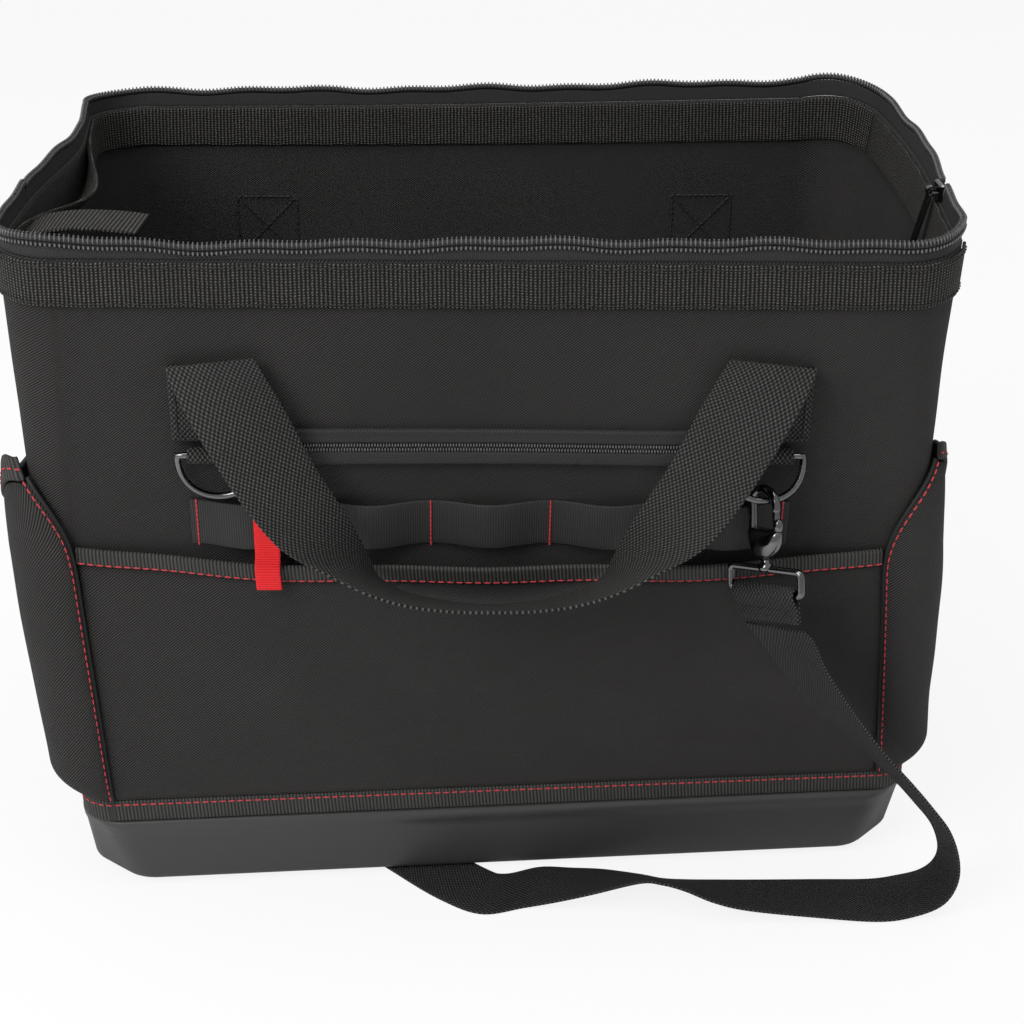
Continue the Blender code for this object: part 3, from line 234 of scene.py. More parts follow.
# copies of one small shape, each turned to the way ahead (its X) and the face (its Z)
def copies(shape, places, ahead, face):
    points, faces = shape
    ahead = unit(ahead)
    across = unit(np.cross(face, ahead))
    frames = np.stack([ahead, across, np.cross(ahead, across)], 1)
    allPoints = places[:, None] + points @ frames
    step = (np.arange(len(places)) * len(points))[:, None, None]
    return allPoints.reshape(-1, 3), [(f[None] + step).reshape(-1, f.shape[1]) for f in faces]


def joined(parts):
    points, faces, count = [], [], 0
    for some, around in parts:
        points.append(some)
        faces += [f + count for f in around]
        count += len(some)
    return np.concatenate(points), faces


def spun(vectors, matrix):
    return np.asarray(vectors) @ np.array(matrix)[:3, :3].T


def turned(points, matrix):
    return spun(points, matrix) + np.array(matrix)[:3, 3]


def levelRings(x, y, z):
    return np.stack(np.broadcast_arrays(x, y, z[:, None]), -1)


# a closed loft: rows of rings from one end to the other, closed by fans
def loft(name, rings, finish, matrix):
    rings = np.asarray(rings, float)
    points = np.concatenate([rings.reshape(-1, 3), rings[[0, -1]].mean(1)])
    return putMesh(name, turned(points, matrix), tubeFaces(*rings.shape[:2]), finish)


# ---- shaders: a socket that takes Python arithmetic

class Signal:
    def __init__(self, shader, socket):
        self.shader, self.socket = shader, socket

    def maths(self, operation, *others, flip=False):
        values = [self, *others]
        inputs = dict(enumerate(values[::-1] if flip else values))
        return self.shader.node("ShaderNodeMath", {"operation": operation}, inputs)

    def __add__(self, other): return self.maths("ADD", other)
    def __sub__(self, other): return self.maths("SUBTRACT", other)
    def __rsub__(self, other): return self.maths("SUBTRACT", other, flip=True)
    def __mul__(self, other): return self.maths("MULTIPLY", other)
    def __truediv__(self, other): return self.maths("DIVIDE", other)
    def __pow__(self, other): return self.maths("POWER", other)
    __radd__, __rmul__ = __add__, __mul__

    def wave(self, pitch, shift=0.0):  # 0 to 1 and back over each pitch
        return (self * (2 * pi / pitch) + shift).maths("COSINE") * 0.5 + 0.5

    def above(self, edge, soft):  # 0 below edge, 1 above it, over a width
        return self.shader.node("ShaderNodeMapRange", {"interpolation_type": "SMOOTHSTEP"},
                                {"Value": self, "From Min": edge - soft, "From Max": edge + soft})


class Shader:
    def __init__(self, name, base, roughness, metallic=0.0, **fixed):
        self.material = bpy.data.materials.new(name)
        self.material.use_nodes = True
        self.tree = self.material.node_tree
        self.surface = self.tree.nodes["Principled BSDF"]
        self.material.diffuse_color = (*base, 1)
        for socket, value in {"Base Color": (*base, 1), "Roughness": roughness, "Metallic": metallic, **fixed}.items():
            self.surface.inputs[socket.replace("_", " ")].default_value = value

    def node(self, kind, settings=None, inputs=None, out=0):
        made = self.tree.nodes.new(kind)
        for key, value in (settings or {}).items():
            setattr(made, key, value)
        for key, value in (inputs or {}).items():
            if isinstance(value, Signal):
                self.tree.links.new(value.socket, made.inputs[key])
            else:
                made.inputs[key].default_value = value
        return Signal(self, made.outputs[out])

    def point(self, source="Object"):
        return self.node("ShaderNodeTexCoord", out=source)

    def parts(self, point):  # its three numbers
        outputs = self.node("ShaderNodeSeparateXYZ", inputs={0: point}).socket.node.outputs
        return [Signal(self, output) for output in outputs]

    def noise(self, point, scale, detail=3.0):
        return self.node("ShaderNodeTexNoise", {"noise_dimensions": "3D"},
                         {"Vector": point, "Scale": scale, "Detail": detail, "Roughness": 0.5})

    def shade(self, factor, low, high):  # a colour between two
        return self.node("ShaderNodeMix", {"data_type": "RGBA"}, {0: factor, 6: (*low, 1), 7: (*high, 1)}, out=2)

    def feed(self, socket, value):
        self.tree.links.new(value.socket, self.surface.inputs[socket])

    def dress(self, colour, roughness, height=None, depth=0.0):
        self.feed("Base Color", colour)
        self.feed("Roughness", roughness)
        if height is not None:
            self.feed("Normal", self.node("ShaderNodeBump", {}, {"Height": height, "Distance": depth, "Strength": 1.0}))
        return self.material


cloths = {
    "twill": {"dark": (0.010, 0.0096, 0.0096), "light": (0.094, 0.0885, 0.0855),
              "rib": 0.00135, "thread": 0.00070, "depth": 0.00050},
    "lining": {"dark": (0.016, 0.0156, 0.016), "light": (0.085, 0.081, 0.081),
               "rib": 0.0012, "thread": 0.0006, "depth": 0.00016},
}


def clothShader(name, dark, light, share, roughness, specular):
    base = mix(np.array(dark), np.array(light), share).tolist()
    return Shader(name, base, roughness, Specular_IOR_Level=specular)


# diagonal ribs at 45 degrees, each cut by finer threads
def twillFinish(name, look):
    s = clothShader(name, look["dark"], look["light"], 0.5, 0.82, 0.22)
    point = s.point("UV")
    u, v, _ = s.parts(point)
    wander = s.noise(point, 60.0, 2.0) * 0.0004
    rib = (u * 0.64 - v * 0.77 + wander).wave(look["rib"] * 0.74)
    thread = (u * 0.94 + v * 0.34).wave(look["thread"])
    height = rib * 0.72 + rib * thread * 0.28
    patch = s.noise(point, 14.0, 3.0) * 0.45 + 0.55
    colour = s.shade(height ** 1.4 * patch, look["dark"], look["light"])
    return s.dress(colour, s.noise(point, 90.0) * 0.12 + 0.72, height, look["depth"])


# staggered yarn bumps: cos(u) * cos(v) is high at every second crossing
def webbingFinish(name, dark, light, along, across, depth, sharp):
    s = clothShader(name, dark, light, 0.4, 0.75, 0.28)
    point = s.point("UV")
    u, v, _ = s.parts(point)
    jitter = s.noise(point, 700.0, 1.0) * 0.0003
    a = ((u + jitter) * (2 * pi / along)).maths("COSINE")
    b = ((v + jitter) * (2 * pi / across)).maths("COSINE")
    lump = (a * b * 0.5 + 0.5) ** sharp
    patch = s.noise(point, 25.0, 3.0) * 0.5 + 0.6
    return s.dress(s.shade(lump ** 1.6 * patch, dark, light), 0.9 - lump * 0.28, lump, depth)


# rows of beads in columns, each column's beads starting at their own height
def bandFinish(name, dark, light, column, bead, depth):
    s = clothShader(name, dark, light, 0.4, 0.75, 0.28)
    point = s.point("UV")
    u, v, _ = s.parts(point)
    jitter = s.noise(point, 500.0, 1.0) * 0.0006
    line = (u + jitter).wave(column) ** 0.8
    index = (u / column + 0.5).maths("FLOOR")
    slip = (index * 12.9898).maths("SINE") * 1.7
    lump = ((v + jitter) * (2 * pi / bead) + slip).maths("COSINE") * 0.5 + 0.5
    height = line * (lump * 0.65 + 0.35)
    patch = s.noise(point, 25.0, 3.0) * 0.6 + 0.55
    return s.dress(s.shade(height ** 2.2 * patch, dark, light), 0.9 - height * 0.3, height, depth)


# ribs across a tape
def ribFinish(name, dark, light, pitch, depth):
    s = clothShader(name, dark, light, 0.5, 0.7, 0.25)
    point = s.point("UV")
    u, v, _ = s.parts(point)
    rib = u.wave(pitch) ** 0.7
    fine = v.wave(0.0007) * 0.25 + 0.75
    patch = s.noise(point, 40.0, 2.0) * 0.5 + 0.6
    colour = s.shade(rib * fine * patch, dark, light)
    return s.dress(colour, s.noise(point, 120.0) * 0.2 + 0.6, rib * fine, depth)


def plasticFinish(name, low, high, roughness, grain):
    s = Shader(name, low, roughness, Specular_IOR_Level=0.42)
    point = s.point()
    z = s.parts(point)[2]
    pebble = s.noise(point, grain, 2.0)
    smear = s.noise(point, 9.0, 4.0)
    # painted highlight: the colour is lighter above z 0.036, the tub's top rim, broken up by noise
    paintedTopHighlight = z.above(0.036, 0.006) * s.noise(point, 70.0, 5.0) * 0.7
    colour = s.shade(smear * 0.7 + paintedTopHighlight * 0.3, low, high)
    return s.dress(colour, smear * 0.14 + roughness - 0.05 + pebble * 0.05, pebble, 0.00006)


def metalFinish(name, tone, roughness):
    s = Shader(name, tone, roughness, 1.0)
    point = s.point()
    colour = s.shade(s.noise(point, 60.0), [c * 0.75 for c in tone], [c * 1.25 for c in tone])
    smudge = s.noise(point, 160.0, 4.0) * 0.16 + roughness - 0.06
    return s.dress(colour, smudge, s.noise(point, 900.0, 2.0), 0.00001)


def glossFinish(name, dark, light, roughness):
    s = Shader(name, light, roughness, Specular_IOR_Level=0.6, Coat_Weight=0.6, Coat_Roughness=0.08)
    point = s.point()
    colour = s.shade(s.noise(point, 800.0, 2.0), dark, light)
    return s.dress(colour, s.noise(point, 300.0, 2.0) * 0.15 + roughness)


def threadFinish(name, dark, light):
    s = Shader(name, light, 0.6, Specular_IOR_Level=0.3)
    twist = s.noise(s.point(), 1400.0, 2.0)
    return s.dress(s.shade(twist, dark, light), twist * 0.2 + 0.5, twist, 0.00008)


looks = {
    "twill": twillFinish("blackTwill", cloths["twill"]),
    "lining": twillFinish("insideTwill", cloths["lining"]),
    "webbing": webbingFinish("ribbedWebbing", (0.006, 0.006, 0.006), (0.140, 0.137, 0.131), 0.0025, 0.0021, 0.001, 1.5),
    "strap": webbingFinish("softWebbing", (0.009, 0.009, 0.009), (0.105, 0.104, 0.101), 0.0021, 0.0017, 0.0008, 1.6),
    "band": bandFinish("coarseBand", (0.005, 0.005, 0.0045), (0.185, 0.177, 0.160), 0.0018, 0.00125, 0.0009),
    "tape": ribFinish("ribbedTape", (0.010, 0.010, 0.010), (0.085, 0.083, 0.078), 0.00165, 0.0004),
    "elastic": ribFinish("loopElastic", (0.018, 0.018, 0.018), (0.046, 0.045, 0.044), 0.0011, 0.00015),
    "zipTape": ribFinish("zipTape", (0.020, 0.020, 0.020), (0.040, 0.040, 0.040), 0.0009, 0.0001),
    "ribbon": ribFinish("redRibbon", (0.62, 0.012, 0.016), (0.98, 0.030, 0.036), 0.00115, 0.00022),
    "tub": plasticFinish("tubPlastic", (0.034, 0.033, 0.033), (0.058, 0.056, 0.055), 0.42, 1500.0),
    "board": plasticFinish("floorBoard", (0.018, 0.018, 0.018), (0.030, 0.030, 0.030), 0.7, 700.0),
    "nylon": glossFinish("zipNylon", (0.040, 0.040, 0.040), (0.17, 0.17, 0.17), 0.20),
    "metal": metalFinish("blackNickel", (0.150, 0.150, 0.155), 0.12),
    "red": threadFinish("redThread", (0.38, 0.025, 0.035), (0.66, 0.075, 0.085)),
    "black": threadFinish("blackThread", (0.010, 0.010, 0.010), (0.034, 0.034, 0.033)),
    "piping": threadFinish("pipingCord", (0.008, 0.008, 0.008), (0.020, 0.020, 0.020)),
}
print("finishes:", len(looks))


# ---- camera, lights and floor

view = {"place": (-0.0142, -0.8119, 0.5597), "yaw": 1.94, "pitch": 27.26, "roll": 0.907, "lens": 61.8}


def makeCamera():
    yaw, pitch, roll = (math.radians(view[k]) for k in ("yaw", "pitch", "roll"))
    ahead = np.array([math.sin(yaw) * math.cos(pitch), math.cos(yaw) * math.cos(pitch), -math.sin(pitch)])
    right = np.array([math.cos(yaw), -math.sin(yaw), 0])
    up = np.cross(right, ahead)
    right, up = math.cos(roll) * right + math.sin(roll) * up, math.cos(roll) * up - math.sin(roll) * right
    data = bpy.data.cameras.new("camera")
    data.lens, data.sensor_width, data.clip_start = view["lens"], 36.0, 0.02
    camera = bpy.data.objects.new("camera", data)
    home.objects.link(camera)
    facing = Matrix(np.stack([right, up, -ahead], 1).tolist()).to_4x4()
    camera.matrix_world = Matrix.Translation(view["place"] + bagMiddle) @ facing
    bpy.context.scene.camera = camera


def makeLamp(name, place, aim, size, power):
    data = bpy.data.lights.new(name, "AREA")
    data.shape, data.size, data.size_y, data.energy = "RECTANGLE", size[0], size[1], power
    lamp = bpy.data.objects.new(name, data)
    home.objects.link(lamp)
    lamp.location = place
    lamp.rotation_euler = (Vector(aim) - Vector(place)).to_track_quat("-Z", "Y").to_euler()


def makeStage():
    # white wherever the camera or a transmission ray looks past the object; other rays see it at strength 0.55
    world = bpy.data.worlds.new("paleRoom")
    bpy.context.scene.world = world
    world.use_nodes = True
    tree = world.node_tree
    rays = tree.nodes.new("ShaderNodeLightPath")
    seen = tree.nodes.new("ShaderNodeMath")
    seen.operation = "MAXIMUM"
    tree.links.new(rays.outputs["Is Camera Ray"], seen.inputs[0])
    tree.links.new(rays.outputs["Is Transmission Ray"], seen.inputs[1])
    strength = tree.nodes.new("ShaderNodeMapRange")
    tree.links.new(seen.outputs[0], strength.inputs["Value"])
    strength.inputs["To Min"].default_value, strength.inputs["To Max"].default_value = 0.55, 1.0
    ground = tree.nodes["Background"]
    ground.inputs["Color"].default_value = (1, 1, 1, 1)
    tree.links.new(strength.outputs[0], ground.inputs["Strength"])
    floor = Shader("whiteFloor", (0.86, 0.86, 0.86), 0.9, Specular_IOR_Level=0.0)
    rays = floor.node("ShaderNodeLightPath", out="Is Camera Ray")
    glow = floor.node("ShaderNodeEmission", {}, {"Color": (1, 1, 1, 1), "Strength": 1.0})
    both = floor.node("ShaderNodeMixShader", {}, {0: rays * 0.86, 1: Signal(floor, floor.surface.outputs[0]), 2: glow})
    floor.tree.links.new(both.socket, floor.tree.nodes["Material Output"].inputs[0])
    side = 4.0
    corners = [(-side, -side, 0), (side, -side, 0), (side, side, 0), (-side, side, 0)]
    putMesh("floor", corners, [np.array([[0, 1, 2, 3]])], floor.material)
    makeLamp("key", (-0.95, -0.95, 1.15), (-0.06, 0, 0.22), (0.8, 0.8), 14)
    makeLamp("fill", (1.9, -1.3, 1.5), (0, 0, 0.15), (1.6, 1.6), 1.0)
    makeLamp("top", (0.0, -0.25, 2.2), (0, 0, 0.1), (1.6, 1.0), 15.5)
    bpy.context.scene.view_settings.view_transform = "Standard"


makeCamera()
makeStage()
print("camera, lights and floor")


# ---- the bag's wall

body = {
    "heights": (0.041, 0.180, 0.320), "halfWidth": (0.2005, 0.2020, 0.2035), "halfDepth": (0.1160, 0.1195, 0.1235),
    "corner": (0.0150, 0.0205, 0.0300), "shift": (0.0, -0.0040, -0.0055), "turn": math.radians(3.6),
    "splay": 0.012, "rise": 0.010, "wall": 0.0025, "gap": 0.0003,
}


def section(z):
    low, waist, rim = body["heights"]
    share = (z - waist) / (rim - waist)
    return [np.where(z < waist, a + (b - a) * (z - low) / (waist - low), b + (c - b) * share)
            for a, b, c in (body[key] for key in ("halfWidth", "halfDepth", "corner", "shift"))]


# the wall: q runs 0 to 8 anticlockwise seen from above, even units straight and odd ones
# corners; a point is its corner's middle plus (radius + out) along the level normal, and
# the section turns with the tub below the waist
def skin(q, z, out=0.0):
    q, z, out = (np.asarray(k, float) for k in np.broadcast_arrays(q, z, out))
    low, waist, rim = body["heights"]
    halfWidth, halfDepth, radius, shift = section(z)
    q = q % 8
    share = np.maximum((z - waist) / (rim - waist), 0) ** 2
    out = out + body["splay"] * bell(q, 2.65, 0.6) * share
    stop = [0, 1, 2, 3, 4, 5, 6, 7, 8]
    angle = -pi / 2 + pi / 2 * np.interp(q, stop, [0, 0, 1, 1, 2, 2, 3, 3, 4])
    x = np.interp(q, stop, [-1, 1, 1, 1, 1, -1, -1, -1, -1]) * (halfWidth - radius) + np.cos(angle) * (radius + out)
    y = np.interp(q, stop, [-1, -1, -1, 1, 1, 1, 1, -1, -1]) * (halfDepth - radius) + np.sin(angle) * (radius + out)
    turn = body["turn"] * (1 - np.clip((z - low) / (waist - low), 0, 1))
    return np.stack([x * np.cos(turn) - y * np.sin(turn) + shift, x * np.sin(turn) + y * np.cos(turn),
                     z + body["rise"] * bell(q, 3.5, 0.9) * share], -1)


def frontQ(x, z):
    halfWidth, _, radius, shift = section(np.asarray(z, float))
    return (x - shift + halfWidth - radius) / (2 * (halfWidth - radius))


def onFront(x, z, out):
    return skin(frontQ(x, z), z, out)


# metres round the wall from q = 0
def around(q):
    metres = [-0.262, -0.04, 0, 0.37, 0.405, 0.606, 0.64, 1.01, 1.045, 1.245, 1.28, 1.65, 1.69]
    return np.interp(q, np.arange(-2, 11), metres)


# soft waves in the cloth: cosines of five lengths, each crossing at its own angle
def ripple(q, z, seed=0.0):
    s, total = around(q), 0.0
    for k, length in enumerate((0.30, 0.19, 0.13, 0.085, 0.055)):
        a = 1.1 + 2.4 * (k + seed)
        total = total + np.cos((s * np.cos(a) + z * np.sin(a)) * 2 * pi / length + 5 * a) * length / 0.30
    return total / 2.5


# 0 at both ends of a span and 1 inside it
def inside(x, low, high, soft):
    return ease((x - low) / soft) * ease((high - x) / soft)


# how far the left side's open rim falls in, most at its middle
def rimFold(q, z):
    return 0.007 * bell(q % 8, 6.30, 0.26) * ease((z - 0.235) / 0.085) ** 1.5


# the right side's board ends in a crease that shows from inside
def wallOut(q, z):
    faces = inside(z, 0.052, 0.300, 0.06)
    crease = 0.0065 * bell(around(q % 8), 0.518 - 0.16 * (z - 0.2), 0.006) * inside(z, 0.20, 0.300, 0.03)
    return ripple(q, z) * 0.0019 * faces - rimFold(q, z) + crease


def onWall(q, z, out=0.0):
    return skin(q, z, out + wallOut(q, z))


def onFrontWall(x, z, out):
    return onWall(frontQ(x, z), z, out)


def qRow(start, end, face=64, side=40, corner=12):
    stops = [start, end]
    for k in range(math.floor(start), math.ceil(end)):
        count = corner if k % 2 else side if k % 4 else face
        stops += [k + s / count for s in range(count)]
    return np.unique(np.round([s for s in stops if start <= s <= end], 6))


# frontRimBand to front_rim_band, as the nodes are named
def snake(name):
    return "".join("_" + c.lower() if c.isupper() else c for c in name)


def settle(piece, carrier, slot, *nodes):
    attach(piece, carrier)
    if nodes:
        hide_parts(*nodes)
    return piece


# a tape on the bag, which stands for the node of its own name unless another is given
def sewnTape(name, edges, thick, finish, slot, node=None, closed=False):
    piece, face = tapeBetween(name, *edges, thick, finish, closed)
    settle(piece, "bag", slot, node or snake(name))
    return face


def makeWall():
    q = qRow(0, 8)[:-1][None]
    z = np.concatenate([np.linspace(0.0413, 0.18, 36), np.linspace(0.18, 0.320, 46)[1:]])[:, None]
    piece = layer("bagWall", onWall(q, z), body["wall"], looks["twill"], closed=True)
    settle(piece, "bag", "twill", "front_panel", "back_panel", "left_gusset", "right_gusset")


thread = {"red": [], "black": []}


# a row of stitches: capsules a pitch apart, half sunk in the cloth
def sew(colour, path, face, pitch=0.0041, length=0.0031, width=0.00085, height=0.0007, lift=0.0001):
    places, faces = spaced(pitch, path, face)
    thread[colour].append(copies(pill(length, width, height), places + faces * lift, slopes(places), faces))


# the open left end slumps inwards and shows its face; the side bands stop short of the corners
bands = {"low": 0.3000, "high": 0.3195, "thick": 0.0015, "rows": (0.09, 0.91), "short": 0.002,
         "slumpLow": (0.005, 0, 0.001), "slumpHigh": (0.019, -0.003, -0.004),
         "hemLow": 0.0413, "hemHigh": 0.0528, "hemRow": 0.80}


def makeBands():
    outside, inward, short = body["gap"] + bands["thick"], -(body["wall"] + body["gap"]), bands["short"]
    spans = {"frontRimBand": (-1, 2, outside), "backRimBand": (3, 6, outside),
             "frontLiningBand": (-1, 2, inward), "backLiningBand": (3, 6, inward),
             "rightLiningBand": (2 + short, 3 - short, inward), "leftLiningBand": (6 + short, 7 - short, inward)}
    for name, (start, end, out) in spans.items():
        q = qRow(start, end)
        edges = [onWall(q, z, out) for z in (bands["low"], bands["high"])]
        if name == "leftLiningBand":
            slump = bell(q, 6.56, 0.22)[:, None]
            edges = [edge + slump * bands[key] for edge, key in zip(edges, ("slumpLow", "slumpHigh"))]
        face = sewnTape(name, edges, bands["thick"], looks["band"], "webbing")
        for share in bands["rows"]:
            sew("black", mix(*edges, share) + face * 0.0002, face, 0.0034, 0.0026, 0.0007, 0.0006)
    q = qRow(0, 8)[:-1]
    edges = [skin(q, z, outside) for z in (bands["hemLow"], bands["hemHigh"])]
    face = sewnTape("baseHemTape", edges, bands["thick"], looks["tape"], "hem_tape", closed=True)
    line = mix(*edges, bands["hemRow"])
    sew("red", np.vstack([line, line[:1]]), np.vstack([face, face[:1]]))


# tooth and heel: length, width, height, rings and sides of a capsule
zipSet = {"low": 0.3203, "tape": 0.0065, "thick": 0.0012, "coil": 0.0015, "meet": 0.25, "pitch": 0.00192,
          "tooth": (0.0036, 0.0030, 0.00115, 5, 8), "heel": (0.0017, 0.0014, 0.0011, 4, 6),
          "slider": 0.011, "core": 0.0014, "coreDrop": 0.0006}


# how the open zip dips along the rim
def zipLean(q):
    s = around(q)
    return -0.0022 * bell(s, 0.085, 0.05) + 0.0006 * np.cos(s * 61) + 0.0005 * np.cos(s * 137 + 1)


def makeMouthZip():
    low, high = zipSet["low"], zipSet["low"] + zipSet["tape"]
    out = -(body["wall"] - zipSet["thick"]) / 2
    right, left = 2 + zipSet["meet"], -1 - zipSet["meet"]
    side = 2 * (body["halfDepth"][2] - body["corner"][2])
    gap = (zipSet["slider"] + 4 * body["gap"]) / side
    for name, start, end in (("front", left, right), ("back", right + gap, 8 + left - 2 * body["gap"] / side)):
        q = qRow(start, end, 120, 70, 20)
        dip = zipLean(q)
        edges = [skin(q, z, out - rimFold(q, low)) for z in (low, high + dip)]
        face = sewnTape(name + "ZipTape", edges, zipSet["thick"], looks["zipTape"], "zip")
        line = skin(q, high + body["gap"] + zipSet["coil"] + dip, out - 0.0006 - rimFold(q, low))
        places, faces = spaced(zipSet["pitch"], line, face)
        up = np.tile([0.0, 0, 1], (len(places), 1))
        tooth = copies(pill(*zipSet["tooth"]), places, up, slopes(places))
        heel = copies(pill(*zipSet["heel"]), places + faces * 0.0011 - up * 0.0027, up, slopes(places))
        core = wire(name + "ZipCore", line - [0, 0, zipSet["coreDrop"]], zipSet["core"], looks["piping"], sides=8)
        settle(core, "bag", "zip")
        teeth = putMesh(name + "ZipTeeth", *joined([tooth, heel]), looks["nylon"])
        settle(teeth, "bag", "zip", name + "_zip_coil")
        cord = skin(q, high - 0.0022 + dip, out + 0.0003 - rimFold(q, low))
        sew("black", cord, face, zipSet["pitch"], 0.0015, 0.0007, 0.0007)


# the line of a stitched box with a cross in it, 0.016 each way from its middle
def boxCross(low, high):
    w = 0.0160
    corners = np.array([(-w, low), (w, low), (w, high), (-w, high), (-w, low), (w, high), (w, low), (-w, high)])
    return np.vstack([mix(a, b, np.linspace(0, 1, 12)[:-1, None]) for a, b in zip(corners, corners[1:])])


# the back handle's sewing shows inside: a box and a cross at each anchor
def sewInside():
    for x in (-0.1185, 0.1185):
        path = boxCross(0.2400, 0.2720)
        line = onWall(5 - frontQ(x + path[:, 0], path[:, 1]), path[:, 1], -body["wall"])
        sew("black", line, np.tile([0.0, -1, 0], (len(line), 1)), 0.0032, 0.0026, 0.0012, 0.0011, 0.0003)


makeWall()
makeBands()
sewInside()
makeMouthZip()
print("wall, bands and mouth zip")


# ---- pockets

pocket = {"top": 0.1795, "lift": 0.006, "cloth": 0.0016, "slack": 0.0070, "inset": 0.0010, "hem": 0.0085,
          "hemThick": 0.0028, "bottom": 0.0534}


def pocketTop(along):
    return pocket["top"] + pocket["lift"] * (2 * along - 1) ** 2


# the pocket stands off the wall by slack * (1 - (2a - 1)^4) * rise^1.6, and ripples
def pocketOut(along, z, seed):
    rise = (z - pocket["bottom"]) / (pocketTop(along) - pocket["bottom"])
    bow = 1 - (2 * along - 1) ** 4
    soft = ripple(along, z, seed) * 0.0013 * inside(along, 0, 1, 0.12) * inside(rise, 0, 1.3, 0.4)
    sag = 0.0016 * np.cos(along * 23 + seed) * bow * np.maximum(rise, 0) ** 4
    return body["gap"] + pocket["cloth"] + pocket["slack"] * bow * np.maximum(rise, 0) ** 1.6 + soft + sag


def makeFlatPocket(name, firstQ, seed):
    edge = pocket["inset"] / (2 * body["halfWidth"][0])
    along = np.linspace(edge, 1 - edge, 130)
    share = np.linspace(0, 1, 44)[:, None]
    z = mix(pocket["bottom"], pocketTop(along) - pocket["hem"] - body["gap"], share)
    piece = layer(name, onWall(firstQ + along, z, pocketOut(along, z, seed)), pocket["cloth"], looks["twill"])
    settle(piece, "bag", "twill", snake(name))
    proud = pocket["hemThick"] - pocket["cloth"]
    edges = [skin(firstQ + along, z, pocketOut(along, z, seed) + wallOut(firstQ + along, z) + proud)
             for z in (pocketTop(along) - pocket["hem"], pocketTop(along))]
    face = sewnTape(name + "Hem", edges, pocket["hemThick"], looks["tape"], "hem_tape")
    sew("red", mix(*edges, 0.14), face)


sides = {
    "rightSidePocket": {"mirror": False, "belly": 0.0110, "slack": 0.0035, "top": 0.2310, "seed": 3.0},
    "leftSidePocket": {"mirror": True, "belly": 0.0120, "slack": 0.0085, "top": 0.2245, "seed": 5.0},
}


# the mouth is level near the seams and dips between them
def sideTop(across, look):
    return look["top"] - 0.028 * np.maximum(np.sin(pi * across), 0) ** 2.4


# how far the front seam swings round the corner, as a share of q
def seamShare(z):
    return 0.47 * np.maximum((z - 0.171) / 0.042, 0) ** 2.4


# the side pocket fills to its belly just above its foot, and has its slack at the mouth
def sideFace(across, z, look, extra=0.0):
    first = 1.004 + np.minimum(seamShare(z), 0.75)
    q = mix(first, 5 - first, across)
    rise = (z - pocket["bottom"]) / (sideTop(across, look) - pocket["bottom"])
    bow = np.maximum(np.sin(pi * np.clip(across, 0, 1)), 0) ** 0.35
    belly = look["belly"] * (1 - (1 - np.clip(rise / 0.10, 0, 1)) ** 2)
    stand = belly * (1 - rise ** 6) + look["slack"] * rise ** 6
    fade = inside(across, 0, 1, 0.15) * inside(rise, 0, 1.4, 0.3)
    creases = ripple(1 + across * 2, z * 1.4, look["seed"]) * 0.0020 * fade
    out = body["gap"] + 0.0006 + pocket["cloth"] + extra + stand * bow + creases
    return skin(1 - q if look["mirror"] else q, z, out)


def makeSidePocket(name, look):
    across = 0.5 - 0.5 * np.cos(pi * np.linspace(0, 1, 130))
    share = np.linspace(0, 1, 72)[:, None] ** 1.3
    if look["mirror"]:
        across = across[::-1]
    z = mix(pocket["bottom"], sideTop(across, look) - pocket["hem"] - 3 * body["gap"], share)
    piece = layer(name, sideFace(across, z, look), pocket["cloth"], looks["twill"])
    settle(piece, "bag", "twill", snake(name))
    proud = pocket["hemThick"] - pocket["cloth"]
    edges = [sideFace(across, z, look, proud) for z in (sideTop(across, look) - pocket["hem"], sideTop(across, look))]
    face = sewnTape(name + "Hem", edges, pocket["hemThick"], looks["tape"], "hem_tape")
    sew("red", mix(*edges, 0.45), face)
    # the seams: piping at the very edge and a red row just inside it
    z = np.linspace(pocket["bottom"], look["top"] - pocket["hem"], 90)
    for k, edge in enumerate((0.0, 1.0)):
        inner = abs(edge - 0.0045)
        line, row = (sideFace(np.full(90, e), z, look, 0.0004) for e in (edge, inner))
        normal = unit(np.cross(row - line, slopes(line)))
        if (edge == 0) == look["mirror"]:
            normal = -normal
        normal = normal * np.sign((normal * (line * [1, 1, 0])).sum(-1, keepdims=True))
        sew("red", row, normal, 0.0038, 0.0030)
        line = line - unit(row - line) * 0.0004
        pipe = wire(name + ("FrontPiping", "BackPiping")[k], line, 0.0011, looks["piping"], sides=10)
        settle(pipe, "bag", "hem_tape")


makeFlatPocket("frontPocket", 0, 1.0)
makeFlatPocket("backPocket", 4, 2.0)
for name, look in sides.items():
    makeSidePocket(name, look)
print("pockets")


zipPocket = {"half": 0.099, "z": 0.2365, "tape": 0.008, "tapeThick": 0.0012, "welt": 0.0062, "weltThick": 0.0018,
             "mouth": 0.0042, "coil": 0.0013}


